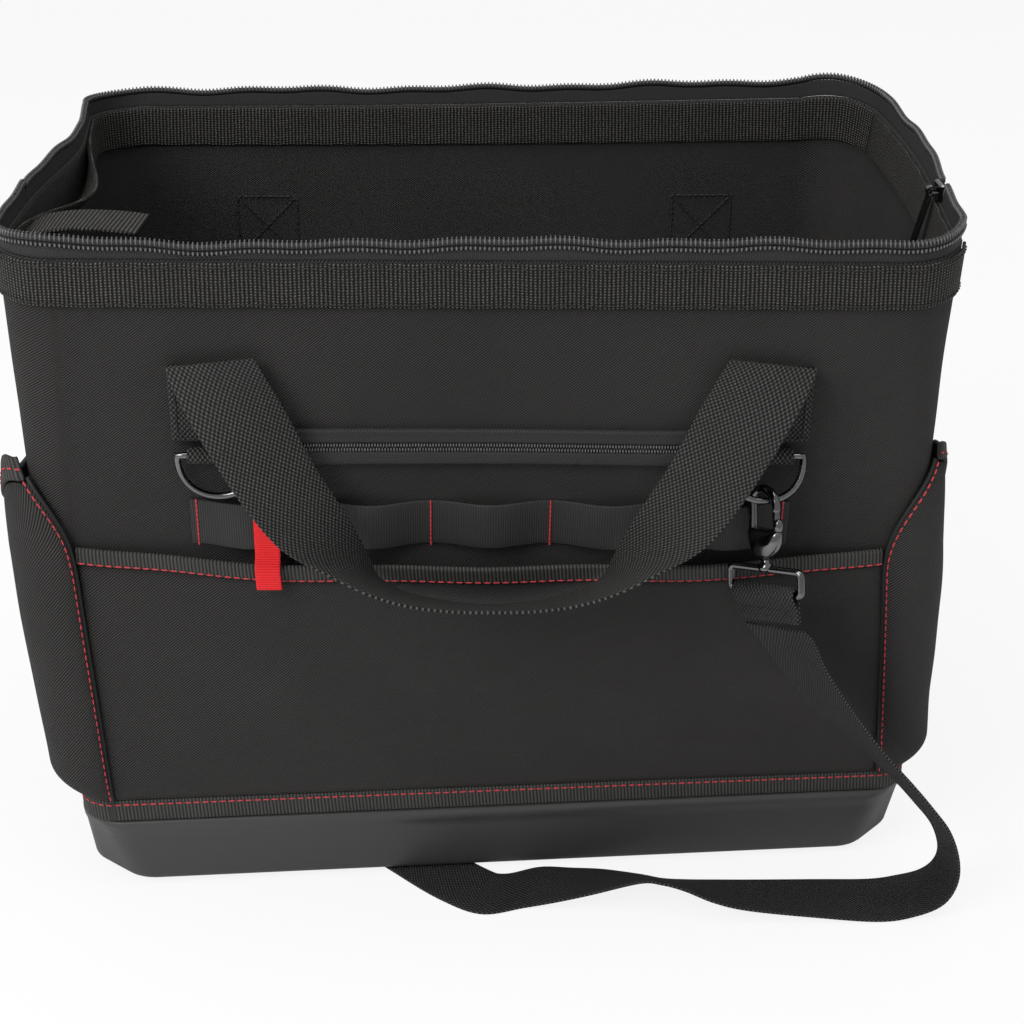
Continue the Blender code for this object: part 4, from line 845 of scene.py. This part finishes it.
def makeZipPocket():
    x = np.linspace(-zipPocket["half"], zipPocket["half"], 90)
    middle, gap = zipPocket["z"], body["gap"]
    tapeOut = gap + zipPocket["tapeThick"]
    edges = [onFrontWall(x, z, tapeOut) for z in (middle - zipPocket["tape"], middle + zipPocket["tape"])]
    sewnTape("zipPocketTape", edges, zipPocket["tapeThick"], looks["zipTape"], "zip")
    out = tapeOut + gap + zipPocket["weltThick"]
    mouth = zipPocket["mouth"] / 2
    for name, low in (("upperWelt", middle + mouth), ("lowerWelt", middle - mouth - zipPocket["welt"])):
        edges = [onFrontWall(x, z, out) for z in (low, low + zipPocket["welt"])]
        face = sewnTape(name, edges, zipPocket["weltThick"], looks["lining"], "twill", "zip_pocket_" + snake(name))
        sew("black", mix(*edges, 0.2 if "lower" in name else 0.8), face, 0.0034, 0.0026, 0.0006, 0.0005)
    rows = []
    coilOut = tapeOut + gap + zipPocket["coil"] * 0.8 + wallOut(frontQ(x, middle), middle)
    for side in (-1, 1):
        line = onFront(x, middle + side * 0.00105, coilOut)
        places, = spaced(0.00125, line)
        ahead = np.tile([0.0, 0, 1], (len(places), 1))
        rows.append(copies(pill(0.0019, 0.0020, 0.0009, 4, 6), places + [0.0003 * side, 0, 0], ahead, slopes(places)))
    settle(putMesh("zipPocketTeeth", *joined(rows), looks["nylon"]), "bag", "zip", "zip_pocket_coil")
    z = np.concatenate([np.linspace(0.1185, 0.180, 16), np.linspace(0.180, 0.2445, 18)[1:]])[:, None]
    q = frontQ(x[None], z)
    face = skin(q, z, -(body["wall"] + gap) + wallOut(q, z) + 0.0004 * ripple(q, z, 4) - 0.0008)
    settle(layer("zipPocketPouch", face, 0.0016, looks["lining"]), "bag", "twill", "zip_pocket_pouch")


loops = {"left": -0.1325, "pitch": 0.0529, "low": 0.1875, "high": 0.2095, "rise": 0.0055, "thick": 0.0013}


def makeLoops():
    x = np.linspace(loops["left"], loops["left"] + 5 * loops["pitch"], 241)
    rise = loops["rise"] * np.sin(pi * (x - loops["left"]) / loops["pitch"]) ** 2
    out = body["gap"] + loops["thick"]
    edges = [onFrontWall(x, z, out + rise) for z in (loops["low"], loops["high"])]
    sewnTape("toolLoops", edges, loops["thick"], looks["elastic"], "webbing")
    z = np.linspace(loops["low"] - 0.0006, loops["high"] + 0.0006, 30)
    for k in range(6):
        at = np.clip(loops["left"] + k * loops["pitch"], x[0] + 0.003, loops["left"] + 5 * loops["pitch"] - 0.003)
        line = onFrontWall(at, z, out + 0.0002)
        sew("red", line, np.tile([0.0, -1, 0], (30, 1)), 0.0023, 0.0024, 0.0009, 0.0008)


def makeRedTab():
    z = np.linspace(0.1715, 0.2185, 60)
    nearHem = ease((0.1875 - z) / 0.008)
    nearRoot = ease((z - 0.211) / 0.0075)
    out = mix(mix(0.0095, 0.0145, nearHem), body["gap"] + 0.0012, nearRoot)
    low, high = (onFront(-0.0985 + half, z, out + wallOut(frontQ(-0.0985, z), z)) for half in (-0.0056, 0.0056))
    sewnTape("redTab", (high, low), 0.0012, looks["ribbon"], "red_ribbon")


makeZipPocket()
makeLoops()
makeRedTab()
print("zip pocket, loops and tab")


# ---- handles, anchors and rings

handle = {"z": 0.2770, "out": 0.0056, "half": 0.1185, "thick": 0.0016, "rows": (
    (0, 0, 0, 0.0188, 0.0006, 0.002), (0.005, -0.0052, -0.009, 0.0183, 0.003, 0.0035),
    (0.015, -0.012, -0.025, 0.016, 0.009, 0.0045), (0.029, -0.0185, -0.049, 0.0145, 0.0118, 0.0028),
    (0.043, -0.0215, -0.069, 0.013, 0.0138, 0.0008), (0.056, -0.0205, -0.085, 0.0085, 0.0163, -0.0048),
    (0.067, -0.0205, -0.0955, 0.0021, 0.0178, -0.0062), (0.083, -0.0205, -0.1028, 0.0006, 0.0177, -0.0073),
    (0.101, -0.0205, -0.1062, 0, 0.0175, -0.0079), (0.1185, -0.0205, -0.1073, 0, 0.0173, -0.0085))}
backTurn = np.diag([-1.0, -1.0, 1.0])


def makeHandle(name, back):
    half = smoothLine(handle["rows"], 10)
    left, right = half.copy(), half[::-1].copy()
    left[:, 0] -= handle["half"]
    right[:, 0] = handle["half"] - right[:, 0]
    right[:, 3] *= -1
    rows = np.vstack([left, right[1:]])
    middle = rows[:, :3] + [0, float(onFront(0, handle["z"], handle["out"])[1]), handle["z"]]
    side = rows[:, 3:]
    if back:
        middle, side = middle @ backTurn, side @ backTurn
    piece = carry(name, middle, side, tapeOutline(0.019, handle["thick"]), looks["webbing"])
    settle(piece, snake(name), "webbing", snake(name))


anchor = {"x": 0.1185, "low": 0.2370, "high": 0.2740, "halfWidth": 0.019, "thick": 0.0030,
          "keeper": 0.0037, "half": 0.0125, "bar": 0.2330}
ring = {"wire": 0.0019, "half": 0.0170, "drop": 0.0195, "tilt": math.radians(26)}


def anchorMatrix(x, back):
    base, top = (float(onFront(0, z, body["gap"])[1]) for z in (anchor["low"], anchor["high"]))
    tilt = Matrix.Rotation(math.atan2(base - top, anchor["high"] - anchor["low"]), 4, "X")
    matrix = Matrix.Translation((x, base, anchor["low"])) @ tilt
    if back:
        matrix = Matrix.Rotation(pi, 4, "Z") @ matrix
    return matrix, matrix @ Matrix.Translation((0, -anchor["keeper"], anchor["bar"] - anchor["low"])) @ tilt.inverted()


# the anchor's webbing in profile: up the bag, over the ring's bar and back up behind
def makeAnchor(name, x, back):
    matrix, bar = anchorMatrix(x, back)
    high, thick, r = anchor["high"] - anchor["low"], anchor["thick"], anchor["keeper"]
    half = anchor["halfWidth"]
    rows = smoothLine([(0, -thick / 2, z, half, 0, 0) for z in (high, high * 0.5, 0.0025)], 6)
    middle, side = turned(rows[:, :3], matrix), spun(rows[:, 3:], matrix)
    patch = carry(name, middle, side, tapeOutline(half, thick), looks["webbing"])
    settle(patch, "bag", "webbing", snake(name))
    angle = np.linspace(0, 2 * pi, 25)[:-1]
    reach = r - 0.0007
    z = (anchor["bar"] - anchor["low"]) + np.sin(angle) * reach
    path = np.stack([0 * angle, -r + np.cos(angle) * reach, z], 1)
    side = spun(np.tile([anchor["half"], 0, 0], (24, 1)), matrix)
    outline = tapeOutline(anchor["half"], 0.0013)
    keeper = carry(name + "Keeper", turned(path, matrix), side, outline, looks["webbing"], closed=True)
    settle(keeper, "bag", "webbing")
    path = boxCross(0.004, high - 0.003)
    line = turned(np.stack([path[:, 0], np.full(len(path), -thick - 0.0001), path[:, 1]], 1), matrix)
    out = np.tile(spun([0, -1, 0], matrix), (len(line), 1))
    sew("black", line, out, 0.0032, 0.0025, 0.0008, 0.0008)
    return bar


# the way that a frame's Y points
def yWay(matrix):
    return np.array(matrix)[:3, 1]


def makeRing(name, node, bar, tilt):
    angle = np.linspace(0, pi, 49)
    arc = np.stack([ring["half"] * np.cos(angle), 0 * angle, -ring["drop"] * np.sin(angle) ** 0.8], 1)
    straight = np.stack([np.linspace(-ring["half"], ring["half"], 14)[1:-1], np.zeros(12), np.zeros(12)], 1)
    hung = bar @ Matrix.Rotation(-tilt, 4, "X")
    path = turned(np.vstack([arc, straight]), hung)
    piece = wire(name, path, ring["wire"] * 0.8, looks["metal"], closed=True, about=yWay(hung), sides=18)
    settle(piece, node, "hardware", node)


makeHandle("frontHandle", False)
makeHandle("backHandle", True)
bars = {}
for name, x, back in (("frontLeft", -anchor["x"], False), ("frontRight", anchor["x"], False),
                      ("backLeft", anchor["x"], True), ("backRight", -anchor["x"], True)):
    bars[name] = makeAnchor(name + "Anchor", x, back)
    makeRing(name + "Ring", snake(name) + "_d_ring", bars[name], ring["tilt"] if x > 0 else 0)
print("handles, anchors and rings")


# ---- snap hooks

hook = {"lean": Vector((0.045, -0.300, -0.953)).normalized(),
        "bow": 0.0073, "wire": 0.0022, "top": 0.0335, "gap": 0.0013,
        "bowTurn": math.radians(57), "eyeTurn": math.radians(45), "tip": 0.0252, "gate": 0.0017, "gateFoot": 0.0145,
        "eyeHalf": 0.0183, "eyeTop": -0.0020, "eyeLow": -0.0125, "corner": 0.0022, "eyeWire": 0.0017}


def hookMatrices(bar, back):
    low = bar @ Vector((0, -ring["drop"] * math.sin(ring["tilt"]), -ring["drop"] * math.cos(ring["tilt"])))
    up = -hook["lean"]
    place = low + up * (ring["wire"] + hook["wire"] + hook["gap"] - hook["top"])
    found = []
    for turn in (hook["bowTurn"], hook["eyeTurn"]):
        along = Vector((math.cos(turn), -math.sin(turn), 0))
        along = (along - up * along.dot(up)).normalized()
        matrix = Matrix((along, up.cross(along), up)).transposed().to_4x4()
        matrix.translation = place
        found.append(Matrix.Rotation(pi, 4, "Z") @ matrix if back else matrix)
    return found


# a shield-shaped housing: rounded rings whose half widths grow upwards
def housing(name, matrix):
    z = np.array([0.0030, 0.0034, 0.0050, 0.0075, 0.0105, 0.0135, 0.0152, 0.0158])
    wide = np.array([0.0022, 0.0034, 0.0056, 0.0078, 0.0092, 0.0097, 0.0095, 0.0086])
    deep = np.array([0.0018, 0.0026, 0.0034, 0.0038, 0.0038, 0.0035, 0.0031, 0.0024])
    angle = angles(32)
    x = np.sign(np.cos(angle)) * np.abs(np.cos(angle)) ** 0.55
    y = np.sign(np.sin(angle)) * np.abs(np.sin(angle)) ** 0.75
    return loft(name, levelRings(wide[:, None] * x, deep[:, None] * y, z), looks["metal"], matrix)


def makeHook(name, bar, back):
    node = snake(name)
    bowFrame, eyeFrame = hookMatrices(bar, back)
    settle(housing(name + "Housing", bowFrame), node, "hardware", node + "_body")
    arc = np.linspace(0, pi, 25)
    top = hook["top"] - hook["bow"]
    leg = [(-hook["bow"], 0, z) for z in np.linspace(0.010, top, 6)[:-1]]
    bend = np.stack([-hook["bow"] * np.cos(arc), 0 * arc, top + hook["bow"] * np.sin(arc)], 1)
    path = turned(np.vstack([leg, bend, [(hook["bow"], 0, hook["tip"])]]), bowFrame)
    bow = wire(name + "Bow", path, hook["wire"] * 0.88, looks["metal"], about=yWay(bowFrame), sides=18)
    settle(bow, node, "hardware")
    stem = np.array([(hook["bow"], 0, z) for z in np.linspace(hook["gateFoot"] - 0.001, hook["tip"] - 0.0012, 6)])
    gate = wire(name + "Gate", turned(stem, bowFrame), hook["gate"], looks["metal"], about=yWay(bowFrame))
    settle(gate, node + "_gate", "hardware", node + "_gate")
    # the thumb piece on the gate: a flattened oval
    z = np.linspace(-1, 1, 11)[1:-1]
    angle = angles(20)
    size = np.sqrt(1 - z ** 2)[:, None]
    x = hook["bow"] + 0.0012 + 0.0021 * size * np.cos(angle)
    rings = levelRings(x, 0.0022 * size * np.sin(angle), 0.0182 + 0.0036 * z)
    thumb = loft(name + "Thumb", rings, looks["metal"], bowFrame)
    settle(thumb, node + "_gate", "hardware")
    reach, r = hook["eyeHalf"] - hook["corner"], hook["corner"]
    high, low = hook["eyeTop"] - r, hook["eyeLow"] + r
    outline = []
    for index, (x, z) in enumerate(((reach, high), (-reach, high), (-reach, low), (reach, low))):
        bend = np.linspace(index * pi / 2, (index + 1) * pi / 2, 7)
        outline.append(np.stack([x + r * np.cos(bend), 0 * bend, z + r * np.sin(bend)], 1))
    outline = turned(np.vstack(outline), eyeFrame)
    eye = wire(name + "Eye", outline, hook["eyeWire"], looks["metal"], closed=True, about=yWay(eyeFrame), sides=16)
    settle(eye, "bag", "hardware", node + "_eye")
    z = np.array([-0.0028, -0.0018, -0.0004, 0.0008, 0.0016, 0.0030])
    wide = np.array([0.0030, 0.0034, 0.0032, 0.0024, 0.0018, 0.0018])
    rings = levelRings(wide[:, None] * np.cos(angle), wide[:, None] * np.sin(angle) * 0.9, z)
    post = loft(name + "Post", rings, looks["metal"], eyeFrame)
    settle(post, "bag", "hardware")
    return eyeFrame


# the back hook is the front one turned half round
eyes = {"front": makeHook("frontHook", bars["frontRight"], False),
        "back": makeHook("backHook", bars["frontRight"], True)}
print("hooks")


# ---- the strap

strap = {"half": 0.016, "thick": 0.0016, "inner": 0.0024, "front": 0.013, "back": 0.045, "swing": math.radians(10),
         "bar": 0.0035, "slot": 0.0075, "adjuster": 0.0026, "route": (
    (0.1248, -0.1492, 0.1608, 0.011, -0.011, 0.0038), (0.1299, -0.1495, 0.1549, 0.0104, -0.011, 0.0051),
    (0.1397, -0.15, 0.139, 0.0072, -0.0123, 0.0073), (0.152, -0.15, 0.1214, 0.0055, -0.0125, 0.0083),
    (0.1655, -0.148, 0.1048, 0.003, -0.013, 0.0087), (0.1795, -0.148, 0.09, 0.001, -0.0137, 0.0082),
    (0.1925, -0.148, 0.076, 0.0002, -0.0138, 0.0081), (0.204, -0.1475, 0.062, 0, -0.0139, 0.008),
    (0.214, -0.146, 0.048, 0, -0.0141, 0.0076), (0.2205, -0.143, 0.031, 0.0005, -0.0146, 0.0065),
    (0.2215, -0.1395, 0.0165, 0.0015, -0.0152, 0.0045), (0.216, -0.1385, 0.0065, 0.002, -0.0157, 0.002),
    (0.204, -0.1395, 0.0022, 0.001, -0.016, 0.0005), (0.1879, -0.1415, 0.0012, -0.0005, -0.016, 0.0002),
    (0.1598, -0.1421, 0.003, -0.0023, -0.0157, 0.0014), (0.1269, -0.1421, 0.0052, -0.0028, -0.0154, 0.0035),
    (0.11, -0.1414, 0.0072, -0.0028, -0.0148, 0.0055), (0.0954, -0.1401, 0.0098, -0.002, -0.0136, 0.0081),
    (0.0845, -0.138, 0.0104, -0.0018, -0.013, 0.0092), (0.0739, -0.1356, 0.0103, -0.0016, -0.0132, 0.0085),
    (0.0538, -0.1331, 0.0066, -0.0041, -0.0147, 0.0046), (0.0377, -0.1319, 0.004, -0.0043, -0.0153, 0.0023),
    (0.0217, -0.1307, 0.0016, -0.0045, -0.0154, 0.0002), (0.003, -0.135, 0.0012, -0.0062, -0.0148, 0),
    (-0.0113, -0.128, 0.0011, -0.0107, -0.0119, 0), (-0.0343, -0.1075, 0.0011, -0.0107, -0.0119, 0),
    (-0.075, -0.066, 0.0011, -0.011, -0.0116, 0), (-0.1, -0.02, 0.0011, -0.0143, -0.0072, 0),
    (-0.108, 0.035, 0.0011, -0.0159, -0.0015, 0), (-0.106, 0.095, 0.0011, -0.016, 0.0006, 0),
    (-0.1035, 0.14, 0.0011, -0.016, 0.0008, 0), (-0.1025, 0.16, 0.003, -0.016, 0.0008, 0),
    (-0.1035, 0.173, 0.015, -0.016, 0.001, 0.0002), (-0.106, 0.176, 0.036, -0.0158, 0.002, 0.001),
    (-0.112, 0.173, 0.064, -0.0152, 0.0048, 0.0015), (-0.12, 0.165, 0.094, -0.014, 0.0075, 0.0025))}


# webbing round the eye's bar: down one side of the tail, over the bar and down the other
def sewnLoop(name, matrix, tail):
    r, t = strap["inner"] + strap["thick"] / 2, strap["thick"] / 2
    tail = np.array(tail, float)
    way = unit(np.gradient(np.vstack([[0, 0], tail]), axis=0))[1:]
    across = np.stack([way[:, 1], -way[:, 0]], 1) * t * 1.04
    arc = np.linspace(-0.25, pi + 0.25, 24)
    over = np.stack([r * np.cos(arc), r * np.sin(arc)], 1)
    flat = np.vstack([(tail - across)[::-1], over, tail + across])
    if np.linalg.norm(flat[len(tail) - 1] - over[0]) > np.linalg.norm((tail + across)[0] - over[0]):
        flat = np.vstack([(tail + across)[::-1], over, tail - across])
    path = np.stack([0 * flat[:, 0], flat[:, 0], flat[:, 1]], 1)
    at = lengths(path)
    fine = np.linspace(0, at[-1], 90)
    path = np.stack([np.interp(fine, at, path[:, k]) for k in range(3)], 1)
    side = spun(np.tile([strap["half"], 0, 0], (90, 1)), matrix)
    piece = carry(name, turned(path, matrix), side, tapeOutline(strap["half"], strap["thick"]), looks["strap"])
    # rows of stitches across the doubled end
    reach = strap["half"] * 0.85
    for z, sign in ((-0.0075, -1), (-0.0105, -1), (-0.0075, 1), (-0.0105, 1)):
        row = np.stack([np.linspace(-reach, reach, 20), np.full(20, sign * 2.1 * t), np.full(20, z)], 1)
        sew("black", turned(row, matrix), np.tile(yWay(matrix) * sign, (20, 1)), 0.0026, 0.0021, 0.0008, 0.0007)
    return settle(piece, "bag", "webbing", snake(name))


def makeStrap():
    hang = Matrix.Translation((0, 0, hook["eyeLow"])) @ Matrix.Rotation(strap["swing"], 4, "X")
    front = sewnLoop("strapFrontLoop", eyes["front"] @ hang, [(0, -0.006), (0, -strap["front"])])
    centre, outer = -strap["back"], strap["bar"] + strap["slot"]
    behind = strap["adjuster"] / 2 + strap["thick"] + 2 * body["gap"]
    tail = [(0, -0.012), (0, centre / 2), (behind, centre + outer + strap["slot"]),
            (behind, centre + outer - strap["bar"] / 2), (strap["thick"] / 2, centre + outer / 2)]
    backLoop = sewnLoop("strapBackLoop", eyes["back"] @ hang, tail)
    adjuster = eyes["back"] @ hang @ Matrix.Translation((0, 0, centre))
    rows = [list(row) for row in strap["route"]]
    edge = adjuster.to_3x3() @ Vector((strap["half"], 0, 0))
    hidden = behind - strap["thick"] / 2
    for across, along in ((hidden, -outer - strap["slot"]), (hidden, strap["bar"] / 2 - outer), (0, -outer / 2)):
        rows.append([*(adjuster @ Vector((0, across, along))), *edge])
    line = smoothLine(rows, 8)
    middle, side = line[:, :3], line[:, 3:]
    piece = carry("shoulderStrap", middle, side, tapeOutline(strap["half"], strap["thick"], 10), looks["strap"])
    settle(piece, "bag", "webbing", "shoulder_strap")
    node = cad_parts["strap_adjuster"]
    node.material_slots[0].material = looks["metal"]
    middle = middle + bagMiddle


makeStrap()


# ---- tub

tub = {"top": (0.2033, 0.1189, 0.0148, 0.0143), "low": (0.2015, 0.1147, 0.0247, 0.0212),
       "height": 0.041, "foot": 0.0025, "wall": 0.0032, "round": 0.0040, "edge": 0.0075}


# an eight-sided ring with rounded corners: each corner is a curve between two points
# `edge` away from it, bending towards the corner
def tubRing(halfWidth, halfDepth, cutX, cutY, z, inset):
    w, d = halfWidth - inset, halfDepth - inset
    a, b = (w - cutX + inset * 0.41, d), (w, d - cutY + inset * 0.41)
    (ax, ay), (bx, by) = a, b
    corners = np.array([(ax, -ay), (bx, -by), b, a, (-ax, ay), (-bx, by), (-bx, -by), (-ax, -ay)])
    before, after = np.roll(corners, 1, 0), np.roll(corners, -1, 0)
    t = np.linspace(0, 1, 9)[None, :, None]
    start = corners + unit(before - corners) * tub["edge"]
    end = corners + unit(after - corners) * tub["edge"]
    curve = (1 - t) ** 2 * start[:, None] + 2 * t * (1 - t) * corners[:, None] + t ** 2 * end[:, None]
    flat = curve.reshape(-1, 2)
    return np.column_stack([flat, np.full(len(flat), z)])


def makeTub():
    def at(z, inset):
        share = (z - tub["foot"]) / (tub["height"] - tub["foot"])
        return tubRing(*mix(np.array(tub["low"]), np.array(tub["top"]), share), z, inset)
    r, low, high = tub["round"], tub["foot"], tub["height"]
    bend = np.linspace(0, pi / 2, 6)
    rings = [at(low, r + 0.012)] + [at(low + r * (1 - math.cos(a)), r * (1 - math.sin(a))) for a in bend]
    rings += [at(z, 0) for z in np.linspace(low + r, high - 0.0065, 8)[1:]]
    rings += [at(high - 0.0060, -0.0004), at(high - 0.0030, -0.0004), at(high - 0.0006, -0.0002), at(high, 0.0006)]
    rings += [at(high, tub["wall"] - 0.0006), at(high - 0.0006, tub["wall"])]
    rings += [at(z, tub["wall"]) for z in np.linspace(high - 0.002, low + tub["wall"] + 0.004, 5)]
    rings += [at(low + tub["wall"], tub["wall"] + 0.004), at(low + tub["wall"], tub["wall"] + 0.03)]
    turn = Matrix.Rotation(body["turn"], 4, "Z")
    piece = loft("baseTub", rings, looks["tub"], turn)
    settle(piece, "bag", "tub_plastic", "base_tub")
    x, y = tub["low"][0] - 0.034, tub["low"][1] - 0.034
    circle = np.stack([np.cos(angles(32)), np.sin(angles(32))], 1)
    for k, (sx, sy) in enumerate(((-1, -1), (1, -1), (-1, 1), (1, 1))):
        rings = [np.column_stack([circle * size + [sx * x, sy * y], np.full(32, z)]) for size, z in
                 ((0.004, 0.0), (0.0108, 0.0), (0.0117, 0.0004), (0.012, 0.0012), (0.012, 0.0036))]
        foot = loft("tubFoot%d" % (k + 1), rings, looks["tub"], turn)
        settle(foot, "bag", "tub_plastic")
    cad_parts["floor_board"].material_slots[0].material = looks["board"]


makeTub()
print("tub")


# ---- zip sliders, end tab and thread

def makeSliders():
    for node in ("main_zip_slider", "main_zip_pull", "zip_pocket_slider", "zip_pocket_pull"):
        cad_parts[node].material_slots[0].material = looks["metal"]
    rows = smoothLine(((-0.2040, -0.0745, 0.3140, 0, 0.0135, 0), (-0.1950, -0.0745, 0.3190, 0, 0.0135, 0),
                       (-0.1810, -0.0745, 0.3212, 0.0006, 0.0135, 0), (-0.1650, -0.0742, 0.3208, 0.0012, 0.0135, 0),
                       (-0.1510, -0.0740, 0.3192, 0.0008, 0.0135, 0)), 8)
    tab = carry("zipEndTab", rows[:, :3], rows[:, 3:], tapeOutline(0.0135, 0.0016), looks["band"])
    settle(tab, "bag", "webbing", "zip_end_tab")


def makeThread():
    for colour, rows in thread.items():
        points, faces = joined(rows)
        piece = putMesh(colour + "Stitching", points, faces, looks[colour])
        settle(piece, "bag", "red_ribbon" if colour == "red" else "hem_tape")
        print(colour, "rows of stitches:", len(rows))


makeSliders()
makeThread()
